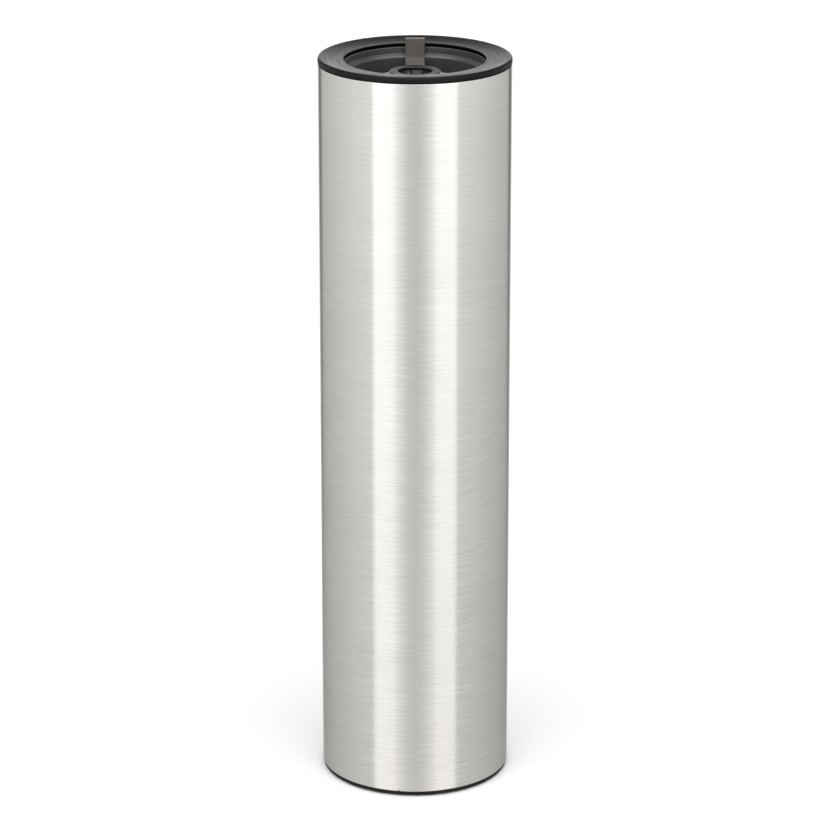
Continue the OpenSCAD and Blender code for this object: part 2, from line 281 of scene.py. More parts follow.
def guarded(outline, closed):
    """Adds a point near each end of a long straight stretch, to keep smooth shading near the corners."""
    ends = outline[1:] + outline[:1] if closed else outline[1:]
    result = []
    for a, b in zip(outline, ends):
        result.append(a)
        way = Vector(b) - Vector(a)
        if way.length > 5 * GUARD_GAP:
            result.append(tuple(Vector(a) + way.normalized() * GUARD_GAP))
            result.append(tuple(Vector(b) - way.normalized() * GUARD_GAP))
    return result if closed else result + [outline[-1]]


def turned(corners, segments=TURN, steps=4, closed=None):
    """A solid of revolution about the axis, from corners (radius, height) or (radius, height, rounding).

    Corners that start and end on the axis leave it open there; any others make a ring, closed unless told.
    """
    if closed is None:
        closed = corners[0][0] > 0.0 or corners[-1][0] > 0.0
    outline = guarded(rounded(corners, steps), closed)
    bm = bmesh.new()
    verts = [bm.verts.new((radius, 0.0, z)) for radius, z in outline]
    for a, b in zip(verts, verts[1:]):
        bm.edges.new((a, b))
    if closed:
        bm.edges.new((verts[-1], verts[0]))
    bmesh.ops.spin(
        bm, geom=bm.verts[:] + bm.edges[:], cent=(0, 0, 0), axis=(0, 0, 1), angle=FULL_TURN,
        steps=segments, use_merge=True, use_duplicate=False,
    )
    return cleaned(bm)


def in_order(parts, key):
    """Puts vertices, edges or faces in the order of a key."""
    for i, part in enumerate(sorted(parts, key=key)):
        part.index = i
    parts.sort()


def cleaned(bm):
    """Merges doubles, turns the faces outwards and puts the parts in an order that no run changes."""
    bmesh.ops.remove_doubles(bm, verts=bm.verts, dist=MERGE_GAP)
    bmesh.ops.dissolve_degenerate(bm, edges=bm.edges, dist=MERGE_GAP / 10)
    bmesh.ops.recalc_face_normals(bm, faces=bm.faces)
    in_order(bm.verts, lambda v: tuple(round(c, ORDER_DIGITS) for c in v.co))
    in_order(bm.edges, lambda e: sorted(v.index for v in e.verts))
    in_order(bm.faces, lambda f: sorted(v.index for v in f.verts))
    return bm


def add(bm, other, matrices=None):
    """Adds another bmesh to bm, once for each matrix, and frees it."""
    for matrix in matrices or [Matrix.Identity(4)]:
        mesh = bpy.data.meshes.new("part")
        other.to_mesh(mesh)
        mesh.transform(matrix)
        bm.from_mesh(mesh)
        bpy.data.meshes.remove(mesh)
    other.free()
    return bm


def carved(bm, cutter):
    """Cuts a closed shape out of bm, and returns what is left as a new bmesh."""
    holders = []
    for shape in (bm, cutter):
        mesh = bpy.data.meshes.new("part")
        shape.to_mesh(mesh)
        shape.free()
        holders.append(bpy.data.objects.new("part", mesh))
        bpy.context.scene.collection.objects.link(holders[-1])
    body, tool = holders
    cut = body.modifiers.new("Cut", "BOOLEAN")
    cut.object = tool
    cut.operation = "DIFFERENCE"
    cut.solver = "EXACT"
    left = bmesh.new()
    left.from_object(body, bpy.context.evaluated_depsgraph_get())
    for holder in holders:
        mesh = holder.data
        bpy.data.objects.remove(holder)
        bpy.data.meshes.remove(mesh)
    return cleaned(left)


def around(count, radius=0.0, start=0.0):
    """Matrices that place a shape at a radius, count times round the axis, from an angle in degrees."""
    out = Matrix.Translation((radius, 0, 0))
    return [Matrix.Rotation(math.radians(start) + FULL_TURN * i / count, 4, "Z") @ out for i in range(count)]


def loop(bm, outline, z=0.0):
    """A closed ring of edges through the outline's points, at one height."""
    verts = [bm.verts.new((x, y, z)) for x, y in outline]
    return [bm.edges.new((a, b)) for a, b in zip(verts, verts[1:] + verts[:1])]


def circle(centre, radius, segments):
    """The points of a circle."""
    angles = [FULL_TURN * i / segments for i in range(segments)]
    return [(centre[0] + radius * math.cos(a), centre[1] + radius * math.sin(a)) for a in angles]


def slab(outlines, z, height):
    """A plate with holes: the first outline is its edge, and the others are its holes."""
    bm = bmesh.new()
    edges = [edge for outline in outlines for edge in loop(bm, outline, z)]
    bmesh.ops.triangle_fill(bm, edges=edges, use_beauty=True)
    raised = bmesh.ops.extrude_face_region(bm, geom=bm.faces[:])
    verts = [g for g in raised["geom"] if isinstance(g, bmesh.types.BMVert)]
    bmesh.ops.translate(bm, verts=verts, vec=(0, 0, height))
    return cleaned(bm)


def blade(outline, width):
    """A plate across the axis's plane, from an outline of (radius, height) points, width thick."""
    bm = bmesh.new()
    face = bm.faces.new([bm.verts.new((radius, -width / 2, z)) for radius, z in outline])
    pushed = bmesh.ops.extrude_face_region(bm, geom=[face])
    verts = [g for g in pushed["geom"] if isinstance(g, bmesh.types.BMVert)]
    bmesh.ops.translate(bm, verts=verts, vec=(0, width, 0))
    return cleaned(bm)


def soften(bm, offset, angle=30.0, segments=2, test=None):
    """Rounds the edges that are sharper than an angle in degrees, and that pass the test if there is one."""
    limit = math.radians(angle)
    sharp = [
        e for e in bm.edges
        if e.is_manifold and e.calc_face_angle(0.0) > limit and (test is None or test(e))
    ]
    bmesh.ops.bevel(
        bm, geom=sharp, offset=offset, offset_type="OFFSET", affect="EDGES", segments=segments,
        profile=0.5, material=-1, clamp_overlap=True,
    )
    return bm


def piece(name, bm, material, body, nodes, weighted=False):
    """Makes the finished object, ties it to its body and hides the CAD nodes it stands for."""
    mesh = bpy.data.meshes.new(name)
    bm.to_mesh(mesh)
    bm.free()
    mesh.polygons.foreach_set("use_smooth", [True] * len(mesh.polygons))
    mesh.set_sharp_from_angle(angle=math.radians(SMOOTH_ANGLE))
    mesh.materials.append(material)
    obj = bpy.data.objects.new(name, mesh)
    bpy.context.scene.collection.objects.link(obj)
    if weighted:
        obj.modifiers.new("Flat Faces", "WEIGHTED_NORMAL").keep_sharp = True
    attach(obj, body)
    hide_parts(*nodes)
    return obj


def wall(bm, edges, rise, push=0.0, beyond=0.0):
    """Extrudes a loop of edges upwards, or down for a negative rise, and returns the new loop.

    Points farther from the axis than beyond also move outwards by push.
    """
    made = bmesh.ops.extrude_edge_only(bm, edges=edges)["geom"]
    verts = {g for g in made if isinstance(g, bmesh.types.BMVert)}
    for vert in verts:
        spoke = Vector((vert.co.x, vert.co.y, 0.0))
        vert.co.z += rise
        if push and spoke.length > beyond:
            vert.co += spoke.normalized() * push
    return [g for g in made if isinstance(g, bmesh.types.BMEdge) and set(g.verts) <= verts]


def cap(bm, *loops):
    """Fills the flat area inside the first loop and outside the others."""
    bmesh.ops.triangle_fill(bm, edges=[edge for one in loops for edge in one], use_beauty=True)


def open_ring(bm, z):
    """The open edges at one height."""
    return [e for e in bm.edges if e.is_boundary and all(abs(v.co.z - z) < SAME_HEIGHT for v in e.verts)]


# Material nodes


class Graph:
    """Adds nodes to a node tree. A socket takes a number, a colour or another node's output."""

    def __init__(self, tree):
        self.tree = tree

    def add(self, kind, inputs=None, **settings):
        """Adds a node, sets its properties and feeds its inputs, and returns it."""
        node = self.tree.nodes.new(kind)
        for key, value in settings.items():
            setattr(node, key, value)
        for key, value in (inputs or {}).items():
            self.feed(node.inputs[key], value)
        return node

    def feed(self, socket, value):
        """Links an output to a socket, or sets the socket's own value."""
        if isinstance(value, bpy.types.NodeSocket):
            self.tree.links.new(value, socket)
        else:
            socket.default_value = value

    def math(self, operation, a, b=0.0, c=0.0):
        """One Math node's result."""
        return self.add("ShaderNodeMath", {0: a, 1: b, 2: c}, operation=operation).outputs[0]

    def remap(self, value, a, b, low_out=0.0, high_out=1.0, smooth=False):
        """Maps a range of values to another, clamped at both ends."""
        node = self.add(
            "ShaderNodeMapRange", {0: value, 1: a, 2: b, 3: low_out, 4: high_out},
            interpolation_type="SMOOTHSTEP" if smooth else "LINEAR",
        )
        return node.outputs[0]

    def mix(self, factor, a, b, blend="MIX"):
        """Mixes two colours."""
        node = self.add("ShaderNodeMix", data_type="RGBA", blend_type=blend)
        self.feed(node.inputs[0], factor)
        self.feed(node.inputs[6], a)
        self.feed(node.inputs[7], b)
        return node.outputs[2]

    def stained(self, body, mask, strength, colour):
        """A colour laid over another where a mask is, at a strength."""
        return self.mix(self.math("MULTIPLY", mask, strength), body, colour)

    def place(self):
        """The point's place in the object's own space."""
        return self.add("ShaderNodeTexCoord").outputs["Object"]

    def noise(self, place, scale, detail=2.0, roughness=0.5, flat=False):
        """A noise texture's value."""
        node = self.add(
            "ShaderNodeTexNoise", {"Vector": place, "Scale": scale, "Detail": detail, "Roughness": roughness},
            noise_dimensions="2D" if flat else "3D",
        )
        return node.outputs[0]

    def group(self, tree, inputs=None):
        """Places a node group."""
        node = self.tree.nodes.new("ShaderNodeGroup")
        node.node_tree = tree
        for key, value in (inputs or {}).items():
            self.feed(node.inputs[key], value)
        return node.outputs


def new_group(name, inputs, outputs):
    """An empty node group with number inputs and outputs, and its graph, input sockets and output node."""
    tree = bpy.data.node_groups.new(name, "ShaderNodeTree")
    for label, value in inputs.items():
        socket = tree.interface.new_socket(label, in_out="INPUT", socket_type="NodeSocketFloat")
        socket.default_value = value
    for label, kind in outputs.items():
        tree.interface.new_socket(label, in_out="OUTPUT", socket_type=kind)
    graph = Graph(tree)
    given = graph.add("NodeGroupInput").outputs
    result = graph.add("NodeGroupOutput")
    return tree, graph, given, result


VALUE = "NodeSocketFloat"


def shared(name, build):
    """Builds a node group once, and finds it again afterwards."""
    return bpy.data.node_groups.get(name) or build(name)


def cylinder_place(name):
    """Distance round a cylinder of the given radius, height and distance from the axis."""
    tree, graph, given, result = new_group(
        name, {"Radius": 0.075}, {"Around": VALUE, "Height": VALUE, "From Axis": VALUE}
    )
    place = graph.place()
    axes = graph.add("ShaderNodeSeparateXYZ", {0: place}).outputs
    away = graph.math("MULTIPLY", axes[1], -1.0)
    angle = graph.math("ARCTAN2", axes[0], away)
    squares = graph.math("MULTIPLY_ADD", axes[0], axes[0], graph.math("MULTIPLY", axes[1], axes[1]))
    graph.feed(result.inputs[0], graph.math("MULTIPLY", angle, given["Radius"]))
    graph.feed(result.inputs[1], axes[2])
    graph.feed(result.inputs[2], graph.math("SQRT", squares))
    return tree


def brush_marks(name):
    """Marks of a brush that went round a tube: their tone, coarse and fine, and their relief."""
    tree, graph, given, result = new_group(
        name, {"Radius": 0.075, "Length": 0.026, "Width": 0.00055},
        {"Tone": VALUE, "Cloud": VALUE, "Relief": VALUE},
    )
    place = graph.group(shared("Cylinder Place", cylinder_place), {"Radius": given["Radius"]})

    def marks(length_share, width_share, detail):
        """One layer of marks, at a share of the mark's length and width."""
        along = graph.math("DIVIDE", place["Around"], graph.math("MULTIPLY", given["Length"], length_share))
        across = graph.math("DIVIDE", place["Height"], graph.math("MULTIPLY", given["Width"], width_share))
        spot = graph.add("ShaderNodeCombineXYZ", {0: along, 1: across}).outputs[0]
        return graph.noise(spot, 1.0, detail, 0.6, flat=True)

    coarse = marks(1.0, 1.0, 2.0)
    fine = marks(2.6, 0.35, 2.0)
    cloud = marks(5.0, 40.0, 3.0)
    both = graph.math("ADD", graph.math("MULTIPLY", coarse, 0.6), graph.math("MULTIPLY", fine, 0.4))
    graph.feed(result.inputs[0], graph.remap(both, 0.3, 0.7))
    graph.feed(result.inputs[1], graph.remap(cloud, 0.3, 0.7))
    graph.feed(result.inputs[2], both)
    return tree


def ring_scuffs(name):
    """Soft streaks that run round the axis on a face that looks up."""
    tree, graph, given, result = new_group(
        name, {"Radius": 0.065, "Length": 0.034, "Width": 0.0013}, {"Mask": VALUE}
    )
    place = graph.group(shared("Cylinder Place", cylinder_place), {"Radius": given["Radius"]})
    along = graph.math("DIVIDE", place["Around"], given["Length"])
    across = graph.math("DIVIDE", place["From Axis"], given["Width"])
    spot = graph.add("ShaderNodeCombineXYZ", {0: along, 1: across}).outputs[0]
    graph.feed(result.inputs[0], graph.remap(graph.noise(spot, 1.0, 3.0, 0.65, flat=True), 0.36, 0.66))
    return tree


def moulded_grain(name):
    """The fine etched grain of a moulding, with cloudy flow marks."""
    tree, graph, given, result = new_group(name, {"Grain": 0.0003}, {"Cloud": VALUE, "Relief": VALUE})
    place = graph.place()
    scale = graph.math("DIVIDE", 1.0, given["Grain"])
    cells = graph.add(
        "ShaderNodeTexVoronoi", {"Vector": place, "Scale": scale}, feature="SMOOTH_F1"
    ).outputs[0]
    fine = graph.noise(place, scale, 2.0)
    cloud = graph.noise(place, 34.0, 3.0)
    graph.feed(result.inputs[0], graph.remap(cloud, 0.32, 0.68))
    graph.feed(result.inputs[1], graph.math("ADD", graph.math("MULTIPLY", cells, 0.6), fine))
    return tree


def edge_wear(name):
    """A mask of the outer edges, broken up as handling leaves them."""
    tree, graph, given, result = new_group(name, {"Width": 0.0006, "Breakup": 160.0}, {"Mask": VALUE})
    rounded_normal = graph.add("ShaderNodeBevel", {0: given["Width"]}, samples=6).outputs[0]
    surface = graph.add("ShaderNodeNewGeometry").outputs["Normal"]
    likeness = graph.add(
        "ShaderNodeVectorMath", {0: rounded_normal, 1: surface}, operation="DOT_PRODUCT"
    ).outputs[1]
    edge = graph.remap(likeness, 0.995, 0.86, smooth=True)
    place = graph.place()
    patches = graph.remap(graph.noise(place, given["Breakup"], 4.0, 0.6), 0.38, 0.62)
    graph.feed(result.inputs[0], graph.math("MULTIPLY", edge, patches))
    return tree


def handling(name):
    """Faint smears, hairline scratches and the dust that lies on what faces up."""
    tree, graph, given, result = new_group(
        name, {"Scratch": 190.0}, {"Smear": VALUE, "Scratches": VALUE, "Dust": VALUE}
    )
    place = graph.place()
    smear = graph.remap(graph.noise(place, 11.0, 5.0, 0.6), 0.46, 0.72, smooth=True)
    bend = graph.add("ShaderNodeTexNoise", {"Vector": place, "Scale": 22.0}).outputs[1]
    spot = graph.add("ShaderNodeMix", {0: 0.04}, data_type="VECTOR")
    graph.feed(spot.inputs[4], place)
    graph.feed(spot.inputs[5], bend)
    lines = graph.add(
        "ShaderNodeTexVoronoi", {"Vector": spot.outputs[1], "Scale": given["Scratch"]},
        feature="DISTANCE_TO_EDGE",
    ).outputs[0]
    thin = graph.remap(lines, 0.012, 0.0)
    rare = graph.remap(graph.noise(place, 60.0, 2.0), 0.60, 0.66)
    surface = graph.add("ShaderNodeNewGeometry").outputs["Normal"]
    up = graph.add("ShaderNodeSeparateXYZ", {0: surface}).outputs[2]
    specks = graph.remap(graph.noise(place, 900.0, 3.0, 0.7), 0.5, 0.75)
    graph.feed(result.inputs[0], smear)
    graph.feed(result.inputs[1], graph.math("MULTIPLY", thin, rare))
    graph.feed(result.inputs[2], graph.math("MULTIPLY", graph.remap(up, 0.5, 1.0), specks))
    return tree


def new_material(name):
    """A material with a Principled shader alone, its graph and that shader."""
    material = bpy.data.materials.new(name)
    material.use_nodes = True
    graph = Graph(material.node_tree)
    return material, graph, material.node_tree.nodes["Principled BSDF"]


def plain(colour, level=1.0):
    """A colour with four numbers, scaled."""
    return tuple(level * c for c in colour[:3]) + (1.0,)


def bump(graph, shader, height, distance):
    """Feeds a height to the shader's normal."""
    node = graph.add("ShaderNodeBump", {"Strength": 1.0, "Distance": distance, "Height": height})
    graph.feed(shader.inputs["Normal"], node.outputs[0])


def brushed_steel(tube):
    """Stainless steel brushed round the tube, brighter on its cut edges, rougher inside, and darker inside
    with painted shade.
    """
    material, graph, shader = new_material("brushed_steel")
    marks = graph.group(
        shared("Brush Marks", brush_marks),
        {"Radius": TUBE_R, "Length": tube.streak_length, "Width": tube.streak_height},
    )
    place = graph.group(shared("Cylinder Place", cylinder_place), {"Radius": TUBE_R})
    used = graph.group(shared("Handling", handling))
    wear = graph.group(shared("Edge Wear", edge_wear), {"Width": 0.4 * MM, "Breakup": 240.0})
    # Mask of the tube's inner face: it roughens the steel there and carries the painted shade inside the
    # tube.
    inside = graph.remap(place["From Axis"], TUBE_R - 0.3 * MM, TUBE_R - 0.7 * MM)
    tone = graph.math("MULTIPLY_ADD", marks["Tone"], 0.8, graph.math("MULTIPLY", marks["Cloud"], 0.2))
    steel = graph.mix(tone, plain(tube.colour, 0.90), plain(tube.colour, 1.08))
    steel = graph.stained(steel, wear["Mask"], 0.6, plain(tube.colour, 1.2))
    # Painted shade: the steel's colour darkens to 0.62 of its own on the tube's inner face, where shade
    # falls.
    steel = graph.stained(steel, inside, 0.8, plain(tube.colour, 0.62))
    graph.feed(shader.inputs["Base Color"], steel)
    grain = graph.remap(marks["Tone"], 0.0, 1.0, tube.roughness - 0.02, tube.roughness + 0.03)
    smeared = graph.math("MULTIPLY_ADD", used["Smear"], 0.02, grain)
    scratched = graph.math("MULTIPLY_ADD", used["Scratches"], 0.03, smeared)
    graph.feed(shader.inputs["Roughness"], graph.math("MULTIPLY_ADD", inside, 0.18, scratched))
    shader.inputs["Metallic"].default_value = 1.0
    shader.inputs["Anisotropic"].default_value = 1.0
    shader.inputs["Anisotropic Rotation"].default_value = 0.25
    tangent = graph.add("ShaderNodeTangent", direction_type="RADIAL", axis="Z")
    graph.feed(shader.inputs["Tangent"], tangent.outputs[0])
    bump(graph, shader, marks["Relief"], 0.004 * MM)
    return material


def moulded_plastic(name, colour, roughness, dust=0.05, specular=0.5, scuffs=None):
    """Satin plastic from an etched mould, rubbed a little shinier and paler along its edges.

    Scuffs, if given, are the length and width of the streaks that run round its top.
    """
    material, graph, shader = new_material(name)
    shader.inputs["Specular IOR Level"].default_value = specular
    shader.inputs["Specular Tint"].default_value = (1.0, 0.955, 0.97, 1.0)
    mould = graph.group(shared("Moulded Grain", moulded_grain), {"Grain": 0.3 * MM})
    used = graph.group(shared("Handling", handling))
    wear = graph.group(shared("Edge Wear", edge_wear), {"Width": 0.5 * MM})
    body = graph.mix(mould["Cloud"], plain(colour, 0.9), plain(colour, 1.12))
    body = graph.stained(body, wear["Mask"], 0.4, plain(colour, 2.2))
    body = graph.stained(body, used["Scratches"], 0.35, plain(colour, 2.6))
    body = graph.stained(body, used["Dust"], dust, (0.30, 0.29, 0.27, 1.0))
    graph.feed(shader.inputs["Base Color"], body)
    level = graph.remap(mould["Cloud"], 0.0, 1.0, roughness - 0.03, roughness + 0.03)
    level = graph.math("MULTIPLY_ADD", used["Smear"], -0.05, level)
    level = graph.math("MULTIPLY_ADD", wear["Mask"], -0.06, level)
    height = mould["Relief"]
    if scuffs:
        streaks = graph.group(shared("Ring Scuffs", ring_scuffs), {"Length": scuffs[0], "Width": scuffs[1]})
        level = graph.math("MULTIPLY_ADD", streaks["Mask"], 0.10, level)
        height = graph.math("MULTIPLY_ADD", streaks["Mask"], 0.7, height)
    graph.feed(shader.inputs["Roughness"], level)
    bump(graph, shader, height, 0.012 * MM)
    return material


def rubber(name, colour, roughness=0.62, specular=0.5):
    """Soft black rubber with a bloom of pale dust."""
    material, graph, shader = new_material(name)
    shader.inputs["Specular IOR Level"].default_value = specular
    mould = graph.group(shared("Moulded Grain", moulded_grain), {"Grain": 0.22 * MM})
    used = graph.group(shared("Handling", handling))
    body = graph.mix(mould["Cloud"], plain(colour, 0.85), plain(colour, 1.3))
    body = graph.stained(body, used["Dust"], 0.08, (0.22, 0.21, 0.20, 1.0))
    graph.feed(shader.inputs["Base Color"], body)
    level = graph.remap(mould["Cloud"], 0.0, 1.0, roughness - 0.06, roughness + 0.06)
    graph.feed(shader.inputs["Roughness"], level)
    bump(graph, shader, mould["Relief"], 0.02 * MM)
    return material


def cast_iron(base):
    """Rough sand-cast iron, oiled, with patches of rust and bare metal on its edges."""
    material, graph, shader = new_material("cast_iron")
    place = graph.place()
    sand = graph.noise(place, 900.0, 4.0, 0.65)
    lumps = graph.noise(place, 140.0, 3.0)
    rust = graph.remap(graph.noise(place, 45.0, 5.0, 0.65), 0.56, 0.7, smooth=True)
    wear = graph.group(shared("Edge Wear", edge_wear), {"Width": 0.9 * MM, "Breakup": 120.0})
    body = graph.mix(sand, plain(base.iron, 0.7), plain(base.iron, 1.4))
    body = graph.stained(body, rust, 0.7, (0.09, 0.035, 0.015, 1.0))
    body = graph.stained(body, wear["Mask"], 0.7, (0.32, 0.32, 0.33, 1.0))
    graph.feed(shader.inputs["Base Color"], body)
    metal = graph.math("SUBTRACT", 0.85, graph.math("MULTIPLY", rust, 0.8))
    graph.feed(shader.inputs["Metallic"], metal)
    graph.feed(shader.inputs["Roughness"], graph.remap(lumps, 0.3, 0.7, 0.48, 0.72))
    bump(graph, shader, graph.math("MULTIPLY_ADD", lumps, 2.0, sand), 0.09 * MM)
    return material


def plated_steel(name, colour, roughness, rolled=0.0):
    """Plated steel with fine machining marks, or the straight grain of rolled strip."""
    material, graph, shader = new_material(name)
    place = graph.place()
    stretch = graph.add("ShaderNodeMapping", {"Vector": place, "Scale": (1.0, 1.0, 1.0 + rolled)}).outputs[0]
    marks = graph.noise(stretch, 2600.0, 3.0, 0.6)
    cloud = graph.noise(place, 260.0, 2.0)
    wear = graph.group(shared("Edge Wear", edge_wear), {"Width": 0.25 * MM, "Breakup": 700.0})
    body = graph.mix(graph.remap(cloud, 0.35, 0.65), plain(colour, 0.88), plain(colour, 1.06))
    body = graph.stained(body, wear["Mask"], 0.5, plain(colour, 1.3))
    graph.feed(shader.inputs["Base Color"], body)
    graph.feed(shader.inputs["Roughness"], graph.remap(marks, 0.3, 0.7, roughness - 0.05, roughness + 0.08))
    shader.inputs["Metallic"].default_value = 1.0
    bump(graph, shader, marks, 0.006 * MM)
    return material


def zinc_plate(base):
    """The zinc finish of every screw and washer, made once."""
    return bpy.data.materials.get("zinc_plate") or plated_steel("zinc_plate", base.zinc, 0.30)


# Operators


class StandOperator(bpy.types.Operator):
    """What the operators that build a piece share"""

    bl_options = {"REGISTER", "UNDO"}


class OBJECT_OT_stand_tube(StandOperator):
    """Build the brushed steel tube"""

    bl_idname = "object.stand_tube"
    bl_label = "Steel Tube"

    def execute(self, context):
        tube = context.scene.stand_tube
        bm = turned(
            [
                (TUBE_INNER_R, TUBE_LOW, tube.edge),
                (TUBE_R, TUBE_LOW, tube.edge),
                (TUBE_R, TUBE_TOP, tube.edge),
                (TUBE_INNER_R, TUBE_TOP, tube.edge),
            ],
            FINE_TURN,
            3,
        )
        add(bm, self.weld(tube))
        piece("outer_tube_finished", bm, brushed_steel(tube), "stand", ["outer_tube"])
        return {"FINISHED"}

    def weld(self, tube):
        """The low bead of the tube's lengthwise weld, inside its back."""
        half = tube.bead_width / 2
        radius = (half ** 2 + tube.bead_height ** 2) / (2 * tube.bead_height)
        lean = math.degrees(math.asin(half / radius))
        top = arc((0.0, tube.bead_height - radius), radius, 90 - lean, 90 + lean, 6)
        bead = [(x, TUBE_INNER_R - y) for x, y in top + [(-half, -tube.edge), (half, -tube.edge)]]
        return slab([bead], TUBE_LOW + 2 * tube.edge, TUBE_TOP - TUBE_LOW - 4 * tube.edge)


class OBJECT_OT_stand_collar(StandOperator):
    """Build the moulded collar and its gasket"""

    bl_idname = "object.stand_collar"
    bl_label = "Collar and Gasket"

    def execute(self, context):
        collar = context.scene.stand_collar
        liner = context.scene.stand_liner
        crest_r = TUBE_R - collar.outer_round
        skirt_r = TUBE_INNER_R - collar.skirt_fit
        skirt_inner_r = skirt_r - collar.skirt_wall
        lip = COLLAR_TOP - collar.funnel_drop

        def funnel(radius):
            """Height of the collar's dished top at a radius."""
            share = (radius - MOUTH_R) / (crest_r - MOUTH_R)
            return lip + collar.funnel_drop * share ** collar.dish

        corners = [
            (skirt_r, SKIRT_LOW, 0.5 * MM),
            (skirt_r, GASKET_TOP),
            (TUBE_R, GASKET_TOP, 0.3 * MM),
        ]
        crown = arc((crest_r, COLLAR_TOP - collar.outer_round), collar.outer_round, 0, 90, 8)
        dish = [crest_r + (MOUTH_R - crest_r) * i / DISH_STEPS for i in range(1, DISH_STEPS)]
        corners += crown + [(radius, funnel(radius)) for radius in dish] + [
            (MOUTH_R, lip, collar.lip_edge),
            (MOUTH_R + collar.lip_bevel, lip - collar.lip_edge - collar.lip_bevel, 0.3 * MM),
            (skirt_inner_r, funnel(skirt_inner_r) - collar.wall, 1.0 * MM),
            (skirt_inner_r, SKIRT_LOW, 0.5 * MM),
        ]
        bm = turned(corners)

        rim_outer_r = MOUTH_R - liner.rim_inside + liner.wall
        boss_r = (rim_outer_r + skirt_inner_r) / 2
        boss_low = LINER_RIM - liner.rim_wall
        boss_top = funnel(boss_r) - collar.wall / 2
        boss_end_r = 4.0 * MM
        boss_root_r = 4.2 * MM
        pilot_r = liner.screw / 2 + 0.05 * MM
        pilot_top = high("liner_screws") + 0.5 * MM
        boss = turned(
            [
                (0.0, pilot_top), (pilot_r, pilot_top), (pilot_r, boss_low, 0.2 * MM),
                (boss_end_r, boss_low, 0.4 * MM), (boss_root_r, boss_top), (0.0, boss_top),
            ],
            SMALL_TURN, 4, False,
        )
        add(bm, boss, around(SCREWS_ROUND_LINER, boss_r, FIRST_SCREW))

        rib_wall = 1.6 * MM
        rib_gap = 0.8 * MM
        rib_run = 4 * MM
        rib_root = collar.wall * 0.8
        inner = rim_outer_r + rib_gap
        rib_low = boss_low + rib_gap
        rib_edge = skirt_inner_r + 0.4 * MM
        rib = blade(
            [
                (inner, funnel(inner) - rib_root), (inner, funnel(inner) - collar.wall - rib_gap),
                (inner + rib_run, rib_low), (rib_edge, rib_low), (rib_edge, funnel(rib_edge) - rib_root),
            ],
            rib_wall,
        )
        bay = 360 / SCREWS_ROUND_LINER
        step = bay / (collar.ribs + 1)
        ribs = [
            Matrix.Rotation(math.radians(FIRST_SCREW + bay * i + step * (j + 1)), 4, "Z")
            for i in range(SCREWS_ROUND_LINER) for j in range(collar.ribs)
        ]
        add(bm, soften(rib, 0.25 * MM), ribs)
        scuffs = (collar.scuff_length, collar.scuff_width)
        plastic = moulded_plastic(
            "collar_plastic", collar.colour, 0.22, dust=0.02, specular=0.06, scuffs=scuffs
        )
        piece("top_collar_finished", bm, plastic, "insert", ["top_collar"])

        round_edge = 0.15 * MM
        inner_r = skirt_r + 0.1 * MM
        outer_r = TUBE_R - 0.4 * MM
        gasket = turned(
            [
                (inner_r, GASKET_LOW, round_edge), (outer_r, GASKET_LOW, round_edge),
                (outer_r, GASKET_TOP, round_edge), (inner_r, GASKET_TOP, round_edge),
            ]
        )
        # Painted shade: the near-black colour and weak specular level make the gasket the dark shadow line
        # under the collar.
        black = rubber("gasket_rubber", collar.gasket, specular=0.1)
        piece("rim_gasket_finished", gasket, black, "insert", ["rim_gasket"])
        return {"FINISHED"}


def screw(head_r, head_h, shank_r, length, recess, depth, pitch):
    """A pan-head screw that points up, with its head's face at z = 0 and a recess cut into it."""
    recess_r = max(math.hypot(x, y) for x, y in recess) + 0.15 * MM
    root_r = shank_r * 0.82
    first_thread = head_h + 0.3 * MM
    tip = head_h + length
    corners = [(recess_r, 0.0), (head_r, 0.0, 0.35 * head_h), (head_r, head_h, 0.1 * MM), (shank_r, head_h)]
    for i in range(int((length - 1.2 * MM) / pitch)):
        z = first_thread + i * pitch
        corners += [(root_r, z), (shank_r, z + pitch / 2)]
    corners += [(shank_r * 0.8, tip - 0.8 * MM), (shank_r * 0.5, tip), (0.0, tip)]
    bm = turned([(0.0, 0.0)] + corners, SCREW_TURN, 3)
    middle = [
        f for f in bm.faces
        if all(abs(v.co.z) < SAME_HEIGHT and v.co.xy.length < recess_r + SAME_HEIGHT for v in f.verts)
    ]
    bmesh.ops.delete(bm, geom=middle, context="FACES")
    rim = open_ring(bm, 0.0)
    mouth = loop(bm, recess)
    cap(bm, rim, mouth)
    cap(bm, wall(bm, mouth, depth))
    return cleaned(bm)


def cross(reach_r, half):
    """The outline of a cross recess."""
    corner = [(reach_r, -half), (reach_r, half), (half, half)]
    return [
        (x * math.cos(a) - y * math.sin(a), x * math.sin(a) + y * math.cos(a))
        for a in (FULL_TURN * i / 4 for i in range(4)) for x, y in corner
    ]


